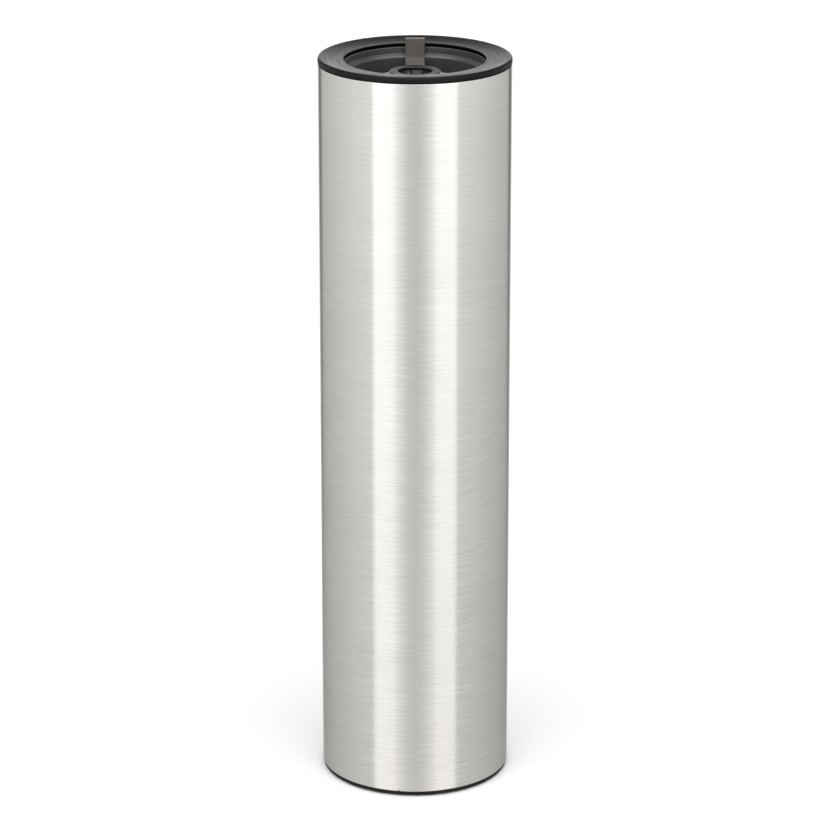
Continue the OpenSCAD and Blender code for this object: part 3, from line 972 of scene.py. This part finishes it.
class OBJECT_OT_stand_liner(StandOperator):
    """Build the liner, the screws that hold it to the collar and the mat on its floor"""

    bl_idname = "object.stand_liner"
    bl_label = "Liner"

    def execute(self, context):
        liner = context.scene.stand_liner
        base = context.scene.stand_base
        rim_r = MOUTH_R - liner.rim_inside
        shaft_r = rim_r - liner.ledge_width
        floor_r = shaft_r - liner.draft
        ledge_top = LINER_RIM - liner.rim_wall
        ledge_z = ledge_top - liner.ledge_drop
        flange_low = ledge_top - liner.flange
        flange_r = reach("liner")
        floor_z = LINER_LOW + liner.floor
        drain = 1.0 * MM
        outside = [
            (0.0, LINER_LOW + drain), (floor_r - 4 * MM, LINER_LOW + drain, 0.4 * MM),
            (floor_r - 3 * MM, LINER_LOW, 0.4 * MM), (floor_r + liner.wall, LINER_LOW, 1.6 * MM),
            (shaft_r + liner.wall, ledge_z - liner.wall / 2, 3.0 * MM),
            (rim_r + liner.wall - 1.0 * MM, flange_low, 0.5 * MM), (flange_r, flange_low, 0.5 * MM),
            (flange_r, ledge_top, 0.5 * MM), (rim_r + liner.wall, ledge_top, 0.5 * MM),
            (rim_r + liner.wall, LINER_RIM, 0.5 * MM),
        ]
        inside = [
            (rim_r, LINER_RIM, 0.5 * MM), (rim_r, ledge_top, 0.5 * MM), (shaft_r, ledge_z, 0.9 * MM),
            (floor_r, floor_z, 4.0 * MM), (0.0, floor_z),
        ]
        skirt_inner_r = nearest_skirt()
        boss_r = (rim_r + liner.wall + skirt_inner_r) / 2
        drill_low = flange_low - 1 * MM
        drill_high = ledge_top + 1 * MM
        drill_r = liner.hole / 2
        drill = turned(
            [(0.0, drill_low), (drill_r, drill_low), (drill_r, drill_high), (0.0, drill_high)], SMALL_TURN
        )
        screw_places = around(SCREWS_ROUND_LINER, boss_r, FIRST_SCREW)
        bm = carved(turned(outside + inside), add(bmesh.new(), drill, screw_places))
        plastic = moulded_plastic("liner_plastic", liner.colour, 0.24, dust=0.10)
        piece("liner_finished", bm, plastic, "insert", ["liner"])

        head_r = 3.0 * MM
        head_h = 2.0 * MM
        recess = cross(1.6 * MM, 0.35 * MM)
        recess_depth = 1.1 * MM
        thread = 0.9 * MM
        length = high("liner_screws") - low("liner_screws") - head_h
        fixing = screw(head_r, head_h, liner.screw / 2, length, recess, recess_depth, thread)
        lift = Matrix.Translation((0, 0, low("liner_screws")))
        placed = [place @ lift for place in screw_places]
        screws = add(bmesh.new(), fixing, placed)
        piece("liner_screws_finished", screws, zinc_plate(base), "insert", ["liner_screws"])

        ridges = []
        mat_r = reach("tip_mat")
        mat_top = high("tip_mat")
        pitch = 10 * MM
        groove = 7 * MM
        groove_z = mat_top - 1 * MM
        radius = pitch / 2
        while radius < mat_r - 3 * MM:
            outer = min(radius + groove, mat_r - 1.5 * MM)
            ridges = [
                (outer, mat_top, 0.4 * MM), (outer, groove_z, 0.3 * MM),
                (radius, groove_z, 0.3 * MM), (radius, mat_top, 0.4 * MM),
            ] + ridges
            radius += pitch
        edge = [(0.0, floor_z), (mat_r, floor_z, 0.3 * MM), (mat_r, mat_top, 0.5 * MM)]
        black = rubber("mat_rubber", base.rubber, 0.7)
        mat = turned(edge + ridges + [(0.0, mat_top)], TURN, 3)
        piece("tip_mat_finished", mat, black, "insert", ["tip_mat"])
        return {"FINISHED"}


def nearest_skirt():
    """Inner radius of the collar's skirt, read at its lower end."""
    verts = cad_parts["top_collar"].data.vertices
    return min(math.hypot(v.co.x, v.co.y) for v in verts if v.co.z < SKIRT_LOW + 1 * MM)


class OBJECT_OT_stand_holder(StandOperator):
    """Build the holder: a hub on arms, whose feet rest on the liner's ledge"""

    bl_idname = "object.stand_holder"
    bl_label = "Holder"

    def execute(self, context):
        holder = context.scene.stand_holder
        liner = context.scene.stand_liner
        rim_r = MOUTH_R - liner.rim_inside
        shaft_r = rim_r - liner.ledge_width - holder.fit
        foot_r = rim_r - holder.fit
        ledge_top = LINER_RIM - liner.rim_wall
        arm_top = ledge_top - liner.ledge_drop
        arm_low = arm_top - holder.arm_height
        inner_r = shaft_r - holder.root
        hub_r = holder.bore / 2 + holder.hub_wall
        half = holder.arm_width / 2
        bm = bmesh.new()

        top = []
        feet = []
        for i in range(holder.arms):
            turn = Matrix.Rotation(math.radians(90) + FULL_TURN * i / holder.arms, 3, "Z")
            before, foot, after = self.arm_outline(holder, hub_r, shaft_r, inner_r, half)
            inner = arc((0.0, 0.0), inner_r, *self.span(half, inner_r), 8)[1:-1]

            def put(points):
                """Places points of the arm's outline at the arm's top."""
                return [bm.verts.new(turn @ Vector((x, y, arm_top))) for x, y in points]

            foot_verts = put(foot)
            inner_verts = [foot_verts[0]] + put(inner) + [foot_verts[-1]]
            chain = put(before) + foot_verts + put(after)
            top.append((chain, inner_verts, foot_verts))
        outline = [v for chain, _, _ in top for v in chain]
        outer_edges = [bm.edges.new((a, b)) for a, b in zip(outline, outline[1:] + outline[:1])]
        for _, inner_verts, foot_verts in top:
            across = [bm.edges.new((a, b)) for a, b in zip(inner_verts, inner_verts[1:])]
            round_foot = [bm.edges.get((a, b)) for a, b in zip(foot_verts, foot_verts[1:])]
            feet.append((across, round_foot))

        bore = loop(bm, circle((0.0, 0.0), holder.bore / 2, 64), arm_top)
        below = wall(bm, outer_edges, -holder.arm_height)
        foot_parts = {edge for _, round_foot in feet for edge in round_foot}
        face_loop = [e for e in outer_edges if e not in foot_parts]
        face_loop += [e for across, _ in feet for e in across]
        cap(bm, face_loop, bore)
        for i, (across, round_foot) in enumerate(feet):
            seat = wall(bm, across + round_foot, holder.seat)
            reach_out = foot_r - shaft_r
            middle = (inner_r + shaft_r) / 2
            ledge = wall(bm, seat, liner.ledge_drop, reach_out, middle)
            foot_top = wall(bm, ledge, holder.foot_rise - holder.seat - liner.ledge_drop)
            if i == 0:
                step = inner_r + holder.tab_thickness - foot_r
                narrowed = wall(bm, foot_top, 0.0, step, middle)
                foot_top = wall(bm, narrowed, TAB_TOP - arm_top - holder.foot_rise)
            cap(bm, foot_top)

        hub_draft = 0.5 * MM
        shelf_width = 1.5 * MM
        shelf_z = 1.6 * MM
        hub = loop(bm, circle((0.0, 0.0), hub_r - hub_draft, 96), arm_low)
        cap(bm, below, hub)
        hub_low = wall(bm, hub, HUB_LOW - arm_low)
        hole = loop(bm, circle((0.0, 0.0), holder.bore / 2 - shelf_width, 64), HUB_LOW)
        cap(bm, hub_low, hole)
        shelf = wall(bm, hole, shelf_z)
        seat = loop(bm, circle((0.0, 0.0), holder.bore / 2, 64), HUB_LOW + shelf_z)
        cap(bm, seat, shelf)
        bmesh.ops.bridge_loops(bm, edges=seat + bore)
        cleaned(bm)
        bmesh.ops.dissolve_limit(
            bm, angle_limit=math.radians(0.3), verts=bm.verts, edges=bm.edges, use_dissolve_boundaries=False
        )
        fillets = [
            e for e in bm.edges
            if all(abs(v.co.z - arm_top) < SAME_PLACE for v in e.verts)
            and all(abs(v.co.xy.length - inner_r) < SAME_PLACE for v in e.verts)
        ]
        bmesh.ops.bevel(
            bm, geom=fillets, offset=1.6 * MM, offset_type="OFFSET", affect="EDGES", segments=5,
            profile=0.5, material=-1, clamp_overlap=True,
        )
        soften(bm, 0.6 * MM, 60.0, 4, self.near_tab_top)
        soften(bm, 0.45 * MM, 40.0, 3)
        plastic = moulded_plastic("holder_plastic", holder.colour, 0.28)
        piece("holder_finished", bm, plastic, "holder", ["holder"], weighted=True)
        return {"FINISHED"}

    def near_tab_top(self, edge):
        """Whether an edge bounds the finger tab's top."""
        return all(v.co.z > TAB_TOP - SAME_PLACE for v in edge.verts)

    def span(self, half, radius):
        """The angles in degrees at which a strip of half a width crosses a circle."""
        lean = math.degrees(math.asin(half / radius))
        return -lean, lean

    def arm_outline(self, holder, hub_r, shaft_r, inner_r, half):
        """One arm from above, lying along X: up to its foot, round the foot, and back to the next arm."""
        web = holder.web
        centre = (math.sqrt((hub_r + web) ** 2 - (half + web) ** 2), half + web)
        lean = math.degrees(math.atan2(centre[1], centre[0]))
        before = arc((centre[0], -centre[1]), web, 180 - lean, 90, 6)
        side = math.sqrt(inner_r ** 2 - half ** 2)
        foot = [(side, -half)] + arc((0.0, 0.0), shaft_r, *self.span(half, shaft_r), 8) + [(side, half)]
        hub = arc((0.0, 0.0), hub_r, lean, 360 / holder.arms - lean, 12)[1:-1]
        after = arc(centre, web, -90, lean - 180, 6) + hub
        return before, foot, after


class OBJECT_OT_stand_grip(StandOperator):
    """Build the rubber grip with its curled petals"""

    bl_idname = "object.stand_grip"
    bl_label = "Rubber Grip"

    def execute(self, context):
        holder = context.scene.stand_holder
        liner = context.scene.stand_liner
        bottom = low("hub_grip")
        top = high("hub_grip")
        outer_r = reach("hub_grip")
        inner_r = outer_r - 2.4 * MM
        lip_low = LINER_RIM - liner.rim_wall - liner.ledge_drop + 0.02 * MM
        lip_top = lip_low + holder.lip_height
        lip_r = outer_r + holder.lip_width
        leaf = top - 1.2 * MM
        leaf_t = 1.1 * MM
        bm = turned(
            [
                (inner_r, bottom, 0.3 * MM), (outer_r, bottom, 0.3 * MM), (outer_r, lip_low),
                (lip_r, lip_low, 0.1 * MM), (lip_r, lip_top, 0.4 * MM), (inner_r, lip_top, 0.7 * MM),
            ],
            96,
        )
        step = 360 / holder.petals
        gap = 5.0
        for i in range(holder.petals):
            droop = (4.6 + 0.9 * math.sin(2.4 * i) + 0.6 * math.sin(5.1 * i)) * MM
            petal = self.petal(inner_r, leaf, leaf_t, droop, step - gap)
            add(bm, petal, [Matrix.Rotation(math.radians(step * (i + 0.3) + gap / 2), 4, "Z")])
        black = rubber("grip_rubber", holder.rubber, 0.36)
        piece("hub_grip_finished", bm, black, "holder", ["hub_grip"])
        return {"FINISHED"}

    def petal(self, root_r, leaf, thick, droop, sweep):
        """One petal: a thin tongue that falls away from the ring and curls up again at its tip."""
        hole_r = 5.0 * MM
        root = root_r + 0.5 * MM
        steps = 14
        middle = []
        for i in range(steps + 1):
            share = i / steps
            fall = droop * (0.7 * math.sin(math.pi * min(1.0, 1.25 * share)) ** 0.8 + 0.8 * share)
            middle.append(Vector((root - share * (root - hole_r), leaf - 0.7 * MM - fall)))
        upper, lower = [], []
        for i, point in enumerate(middle):
            way = (middle[min(i + 1, steps)] - middle[max(i - 1, 0)]).normalized()
            out = Vector((way.y, -way.x)) * thick / 2 * (1 - 0.4 * (i / steps) ** 2)
            upper.append(tuple(point + out))
            lower.append(tuple(point - out))
        bm = bmesh.new()
        face = bm.faces.new([bm.verts.new((radius, 0.0, z)) for radius, z in upper + lower[::-1]])
        bmesh.ops.spin(
            bm, geom=[face] + face.edges[:] + face.verts[:], cent=(0, 0, 0), axis=(0, 0, 1),
            angle=math.radians(sweep), steps=10, use_merge=False, use_duplicate=False,
        )
        return soften(cleaned(bm), 0.25 * MM, 50.0, 2)


class OBJECT_OT_stand_base(StandOperator):
    """Build the base plug, its clips and pads, and the ballast with its screws and washers"""

    bl_idname = "object.stand_base"
    bl_label = "Base and Ballast"

    def execute(self, context):
        base = context.scene.stand_base
        collar = context.scene.stand_collar
        foot_r = reach("foot_pads") - base.pad / 2
        self.plug(base, collar, foot_r)
        self.ballast(base, foot_r)
        self.pads(base, foot_r)
        self.clips(base, collar)
        self.fixings(base, foot_r)
        return {"FINISHED"}

    def spots(self, base, foot_r, between):
        """The centres of the feet, or of the screws between them."""
        first = math.pi / base.feet if between else 0.0
        angles = [first + FULL_TURN * i / base.feet for i in range(base.feet)]
        return [(foot_r * math.cos(a), foot_r * math.sin(a)) for a in angles]

    def plug(self, base, collar, foot_r):
        """The moulded plug, with the feet's recesses and the screws' counterbores in its underside."""
        plug_r = reach("base_plug")
        skirt_r = TUBE_INNER_R - collar.skirt_fit
        inner_r = skirt_r - base.skirt_wall
        floor_z = TUBE_LOW
        bm = turned(
            [
                (plug_r - 3 * MM, PLUG_LOW), (plug_r, PLUG_LOW, base.edge), (plug_r, floor_z, 0.12 * MM),
                (skirt_r, floor_z), (skirt_r, PLUG_TOP, 1.0 * MM), (inner_r, PLUG_TOP, 0.6 * MM),
                (inner_r, floor_z, 1.0 * MM), (inner_r - 3 * MM, floor_z),
            ],
            TURN, 4, False,
        )
        under = open_ring(bm, PLUG_LOW)
        washer_r = base.screw * WASHER_SHARE
        recess_r = base.pad / 2 + 0.1 * MM
        feet = self.spots(base, foot_r, False)
        spots = self.spots(base, foot_r, True)
        pads = [loop(bm, circle(spot, recess_r, 48), PLUG_LOW) for spot in feet]
        bores = [loop(bm, circle(spot, washer_r + 0.5 * MM, 32), PLUG_LOW) for spot in spots]
        cap(bm, under, *pads, *bores)
        for pad in pads:
            cap(bm, wall(bm, pad, PAD_TOP - PLUG_LOW))
        seat_z = high("ballast_washers")
        hole_r = base.screw / 2 + 0.3 * MM
        bosses = [loop(bm, circle(spot, washer_r + 2.5 * MM, 32), floor_z) for spot in spots]
        cap(bm, open_ring(bm, floor_z), *bosses)
        for spot, bore, boss in zip(spots, bores, bosses):
            hole = loop(bm, circle(spot, hole_r, 24), seat_z)
            cap(bm, wall(bm, bore, seat_z - PLUG_LOW), hole)
            wall(bm, hole, BALLAST_LOW - seat_z)
            cap(bm, wall(bm, boss, BALLAST_LOW - floor_z), loop(bm, circle(spot, hole_r, 24), BALLAST_LOW))
        cleaned(bm)
        pocket_r = skirt_r - 1.2 * MM
        pocket_low = PLUG_TOP - 14 * MM
        pocket_top = PLUG_TOP + 1 * MM
        beyond = skirt_r + 2 * MM
        pocket = blade(
            [(pocket_r, pocket_low), (beyond, pocket_low), (beyond, pocket_top), (pocket_r, pocket_top)],
            base.clip + 2 * MM,
        )
        bm = carved(bm, add(bmesh.new(), pocket, around(base.clips, 0.0, 90)))
        soften(bm, 0.3 * MM, 50.0, 2, self.near_underside)
        rib_start = 0.5 * MM
        rib_end = inner_r + 0.5 * MM
        rib_low = floor_z - 0.4 * MM
        rib = blade(
            [(rib_start, rib_low), (rib_end, rib_low), (rib_end, BALLAST_LOW), (rib_start, BALLAST_LOW)],
            base.rib,
        )
        add(bm, rib, around(2 * base.feet, 0.0, 90 / base.feet))
        mark_width = 1.6 * MM
        root_r = plug_r - 0.15 * MM
        near_r = TUBE_R + 0.02 * MM
        proud_r = TUBE_R + 0.2 * MM
        mark_low = floor_z - 0.9 * MM
        mark_step = floor_z - 0.02 * MM
        mark_top = floor_z + 0.8 * MM
        mark = blade(
            [
                (root_r, mark_low), (proud_r, mark_low), (proud_r, mark_top),
                (near_r, mark_top), (near_r, mark_step), (root_r, mark_step),
            ],
            mark_width,
        )
        add(bm, soften(mark, 0.05 * MM), around(1, 0.0, base.gate))
        # Painted shade: the near-black colour and weak specular level darken the base ring to stand in for
        # the shadow at the foot.
        plastic = moulded_plastic("base_plastic", base.colour, 0.55, specular=0.2)
        piece("base_plug_finished", bm, plastic, "stand", ["base_plug"], weighted=True)

    def near_underside(self, edge):
        """Whether an edge lies in the plug's flat underside."""
        return all(abs(v.co.z - PLUG_LOW) < SAME_HEIGHT for v in edge.verts)

    def ballast(self, base, foot_r):
        """The cast disc, with the screws' holes in its underside."""
        ballast_r = reach("ballast")
        bm = turned(
            [
                (ballast_r - 4 * MM, BALLAST_LOW), (ballast_r, BALLAST_LOW, 1.5 * MM),
                (ballast_r, BALLAST_TOP, 1.5 * MM), (0.0, BALLAST_TOP),
            ],
            TURN, 4, False,
        )
        spots = self.spots(base, foot_r, True)
        holes = [loop(bm, circle(spot, base.screw / 2 + 0.05 * MM, 24), BALLAST_LOW) for spot in spots]
        cap(bm, open_ring(bm, BALLAST_LOW), *holes)
        depth = high("ballast_screws") - BALLAST_LOW + 1 * MM
        for hole in holes:
            cap(bm, wall(bm, hole, depth))
        iron = cast_iron(base)
        piece("ballast_finished", cleaned(bm), iron, "stand", ["ballast"], weighted=True)

    def pads(self, base, foot_r):
        """The rubber pads, each with a ring groove in its sole."""
        pad_r = base.pad / 2
        groove_r = pad_r * 0.55
        groove_z = 0.5 * MM
        soft = 0.2 * MM
        pad = turned(
            [
                (0.0, 0.0), (groove_r, 0.0, soft), (groove_r + 0.3 * MM, groove_z, soft),
                (groove_r + 1.5 * MM, groove_z, soft), (groove_r + 1.8 * MM, 0.0, soft),
                (pad_r, 0.0, 0.5 * MM), (pad_r, PAD_TOP, soft), (0.0, PAD_TOP),
            ],
            48, 3,
        )
        pads = add(bmesh.new(), pad, around(base.feet, foot_r))
        black = rubber("pad_rubber", base.rubber, 0.75)
        piece("foot_pads_finished", pads, black, "stand", ["foot_pads"])

    def clips(self, base, collar):
        """The spring clips that hook over the plug's skirt and bite into the tube."""
        low_z, high_z = low("base_clips"), high("base_clips")
        strip = 0.5 * MM
        width = base.clip
        chord = width ** 2 / 4
        skirt_r = TUBE_INNER_R - collar.skirt_fit
        inner_r = math.sqrt((skirt_r - base.skirt_wall) ** 2 - chord) - 0.1 * MM - strip
        outer_r = skirt_r - 1.1 * MM
        barb_r = math.sqrt(TUBE_INNER_R ** 2 - chord) - 0.1 * MM
        barb_h = 4 * MM
        barb_z = low_z + barb_h
        clip = blade(
            [
                (inner_r, low_z), (inner_r + strip, low_z), (inner_r + strip, high_z - strip),
                (outer_r, high_z - strip), (outer_r, low_z), (outer_r + strip, low_z),
                (outer_r + strip, barb_z), (barb_r, barb_z), (outer_r + strip, barb_z + barb_h),
                (outer_r + strip, high_z), (inner_r, high_z),
            ],
            width,
        )
        soften(clip, 0.12 * MM, 40.0, 2)
        clips = add(bmesh.new(), clip, around(base.clips, 0.0, 90))
        steel = plated_steel("spring_steel", (0.42, 0.42, 0.44), 0.34, 6.0)
        piece("base_clips_finished", clips, steel, "stand", ["base_clips"], weighted=True)

    def fixings(self, base, foot_r):
        """The screws that hold the ballast, and their washers."""
        zinc = zinc_plate(base)
        places = around(base.feet, foot_r, 180 / base.feet)
        head_h = base.screw * 0.6
        length = high("ballast_screws") - low("ballast_screws") - head_h
        hexagon = circle((0.0, 0.0), base.screw / 2, 6)
        fixing = screw(base.screw, head_h, base.screw / 2, length, hexagon, head_h / 2, 0.7 * MM)
        lift = Matrix.Translation((0, 0, low("ballast_screws")))
        screws = add(bmesh.new(), fixing, [place @ lift for place in places])
        piece("ballast_screws_finished", screws, zinc, "stand", ["ballast_screws"])
        low_z, high_z = low("ballast_washers"), high("ballast_washers")
        edge = 0.15 * MM
        inner_r, outer_r = base.screw / 2 + 0.1 * MM, base.screw * WASHER_SHARE
        washer = turned(
            [
                (inner_r, low_z, edge), (outer_r, low_z, edge),
                (outer_r, high_z, edge), (inner_r, high_z, edge),
            ],
            SMALL_TURN, 2,
        )
        washers = add(bmesh.new(), washer, places)
        piece("ballast_washers_finished", washers, zinc, "stand", ["ballast_washers"])


# Studio

# Brightness of the studio walls, by degrees to either side of the camera: at eye level, near the floor
STUDIO_ROUND = [
    (0, 0.66, 0.70), (8, 0.76, 0.73), (18, 1.22, 0.78), (27, 1.95, 0.82), (50, 2.10, 0.90),
    (52, 1.36, 0.52), (80, 1.22, 0.51), (98, 1.05, 0.49), (116, 0.89, 0.48), (130, 0.77, 0.46),
    (144, 0.66, 0.40), (147, 0.14, 0.38), (158, 0.12, 0.38), (162, 0.90, 0.60), (180, 1.60, 1.60),
]
STUDIO_PEAK = 2.1


class OBJECT_OT_stand_studio(StandOperator):
    """Set up the floor, the studio light and the camera"""

    bl_idname = "object.stand_studio"
    bl_label = "Studio"

    def execute(self, context):
        studio = context.scene.stand_studio
        self.walls(context, studio)
        self.floor(context, studio)
        self.overhead(context, studio)
        self.camera(context, studio)
        context.scene.view_settings.view_transform = "Standard"
        return {"FINISHED"}

    def walls(self, context, studio):
        """The studio's walls: two bright strips in front, dark sides behind and a white backdrop."""
        world = bpy.data.worlds.new("studio")
        world.use_nodes = True
        context.scene.world = world
        graph = Graph(world.node_tree)
        way = graph.add("ShaderNodeTexCoord").outputs["Generated"]
        axes = graph.add("ShaderNodeSeparateXYZ", {0: way}).outputs
        side = graph.math("ARCTAN2", axes[0], graph.math("MULTIPLY", axes[1], -1.0))
        share = graph.math("DIVIDE", graph.math("ABSOLUTE", side), math.pi)
        eye_level = [(degrees, level) for degrees, level, _ in STUDIO_ROUND]
        near_floor = [(degrees, level) for degrees, _, level in STUDIO_ROUND]
        high_walls = self.ring(graph, share, eye_level, (1.0, 1.0, 1.0))
        low_walls = self.ring(graph, share, near_floor, (1.0, 0.985, 0.96))
        lower = graph.remap(axes[2], -0.21, -0.36)
        lean = graph.math("MULTIPLY_ADD", axes[0], -0.03, 1.0)
        walls = graph.mix(1.0, graph.mix(lower, high_walls, low_walls), lean, "MULTIPLY")
        above = graph.remap(axes[2], 0.24, 0.46, smooth=True)
        ceiling = graph.remap(axes[1], -0.75, 0.1, 1.9, 0.18)
        room = graph.mix(above, walls, ceiling)
        seen = graph.add("ShaderNodeLightPath").outputs["Is Camera Ray"]
        background = world.node_tree.nodes["Background"]
        graph.feed(background.inputs["Color"], graph.mix(seen, room, (1.0, 1.0, 1.0, 1.0)))

    def ring(self, graph, share, levels, colour):
        """The brightness round the studio at one height."""
        ramp = graph.add("ShaderNodeValToRGB", {0: share})
        stops = ramp.color_ramp.elements
        while len(stops) < len(levels):
            stops.new(1.0)
        for stop, (degrees, level) in zip(stops, levels):
            stop.position = degrees / 180
            stop.color = plain(colour, level / STUDIO_PEAK)
        return graph.mix(1.0, ramp.outputs[0], (STUDIO_PEAK, STUDIO_PEAK, STUDIO_PEAK, 1.0), "MULTIPLY")

    def floor(self, context, studio):
        """A round pale floor, which the steel's mirror image leaves out."""
        bm = bmesh.new()
        bmesh.ops.create_circle(bm, cap_ends=True, radius=12.0, segments=96)
        mesh = bpy.data.meshes.new("floor")
        bm.to_mesh(mesh)
        bm.free()
        material, graph, shader = new_material("floor_paper")
        place = graph.place()
        fibre = graph.noise(place, 900.0, 3.0)
        paper = graph.mix(fibre, plain(studio.floor, 0.99), plain(studio.floor, 1.01))
        graph.feed(shader.inputs["Base Color"], paper)
        shader.inputs["Roughness"].default_value = 0.9
        mesh.materials.append(material)
        floor = bpy.data.objects.new("floor", mesh)
        context.scene.collection.objects.link(floor)
        floor.visible_glossy = False

    def overhead(self, context, studio):
        """A broad, very soft light straight overhead, which keeps the floor white."""
        light = bpy.data.lights.new("overhead", "SUN")
        light.angle = math.radians(70)
        light.energy = studio.overhead
        lamp = bpy.data.objects.new("overhead", light)
        lamp.location = (0.0, 0.0, 3.0)
        context.scene.collection.objects.link(lamp)

    def camera(self, context, studio):
        """A camera above the collar, aimed midway between its back edge and the base's front edge."""
        height = COLLAR_TOP + studio.distance * math.tan(studio.above)
        to_top = math.atan((height - COLLAR_TOP) / (studio.distance + TUBE_R))
        to_foot = math.atan((height - PLUG_LOW) / (studio.distance - TUBE_R))
        middle = (to_top + to_foot) / 2
        lens = bpy.data.cameras.new("camera")
        lens.sensor_width = 36.0
        lens.lens = lens.sensor_width * studio.fill / 2 / math.tan((to_foot - to_top) / 2)
        camera = bpy.data.objects.new("camera", lens)
        camera.location = (0.0, -studio.distance, height)
        camera.rotation_euler = (math.pi / 2 - middle, 0.0, 0.0)
        context.scene.collection.objects.link(camera)
        context.scene.camera = camera


class VIEW3D_PT_stand(bpy.types.Panel):
    """The umbrella stand's pieces and sizes"""

    bl_label = "Umbrella Stand"
    bl_space_type = "VIEW_3D"
    bl_region_type = "UI"
    bl_category = "Umbrella Stand"

    def draw(self, context):
        for label, group, operators in SECTIONS:
            box = self.layout.box()
            box.label(text=label)
            for operator in operators:
                box.operator(operator.bl_idname)
            settings = getattr(context.scene, group)
            for name in settings.bl_rna.properties.keys():
                if name not in ("rna_type", "name"):
                    box.prop(settings, name)


SECTIONS = [
    ("Steel tube", "stand_tube", [OBJECT_OT_stand_tube]),
    ("Collar", "stand_collar", [OBJECT_OT_stand_collar]),
    ("Liner", "stand_liner", [OBJECT_OT_stand_liner]),
    ("Holder", "stand_holder", [OBJECT_OT_stand_holder, OBJECT_OT_stand_grip]),
    ("Base", "stand_base", [OBJECT_OT_stand_base]),
    ("Studio", "stand_studio", [OBJECT_OT_stand_studio]),
]
GROUPS = {
    "stand_tube": StandTube,
    "stand_collar": StandCollar,
    "stand_liner": StandLiner,
    "stand_holder": StandHolder,
    "stand_base": StandBase,
    "stand_studio": StandStudio,
}
OPERATORS = [operator for _, _, operators in SECTIONS for operator in operators]


def register():
    for name, group in GROUPS.items():
        bpy.utils.register_class(group)
        setattr(bpy.types.Scene, name, PointerProperty(type=group))
    for operator in OPERATORS:
        bpy.utils.register_class(operator)
    bpy.utils.register_class(VIEW3D_PT_stand)


def unregister():
    bpy.utils.unregister_class(VIEW3D_PT_stand)
    for operator in reversed(OPERATORS):
        bpy.utils.unregister_class(operator)
    for name, group in GROUPS.items():
        delattr(bpy.types.Scene, name)
        bpy.utils.unregister_class(group)


def main():
    register()
    bpy.ops.object.stand_studio()
    bpy.ops.object.stand_tube()
    bpy.ops.object.stand_collar()
    bpy.ops.object.stand_liner()
    bpy.ops.object.stand_holder()
    bpy.ops.object.stand_grip()
    bpy.ops.object.stand_base()


if __name__ == "__main__":
    main()
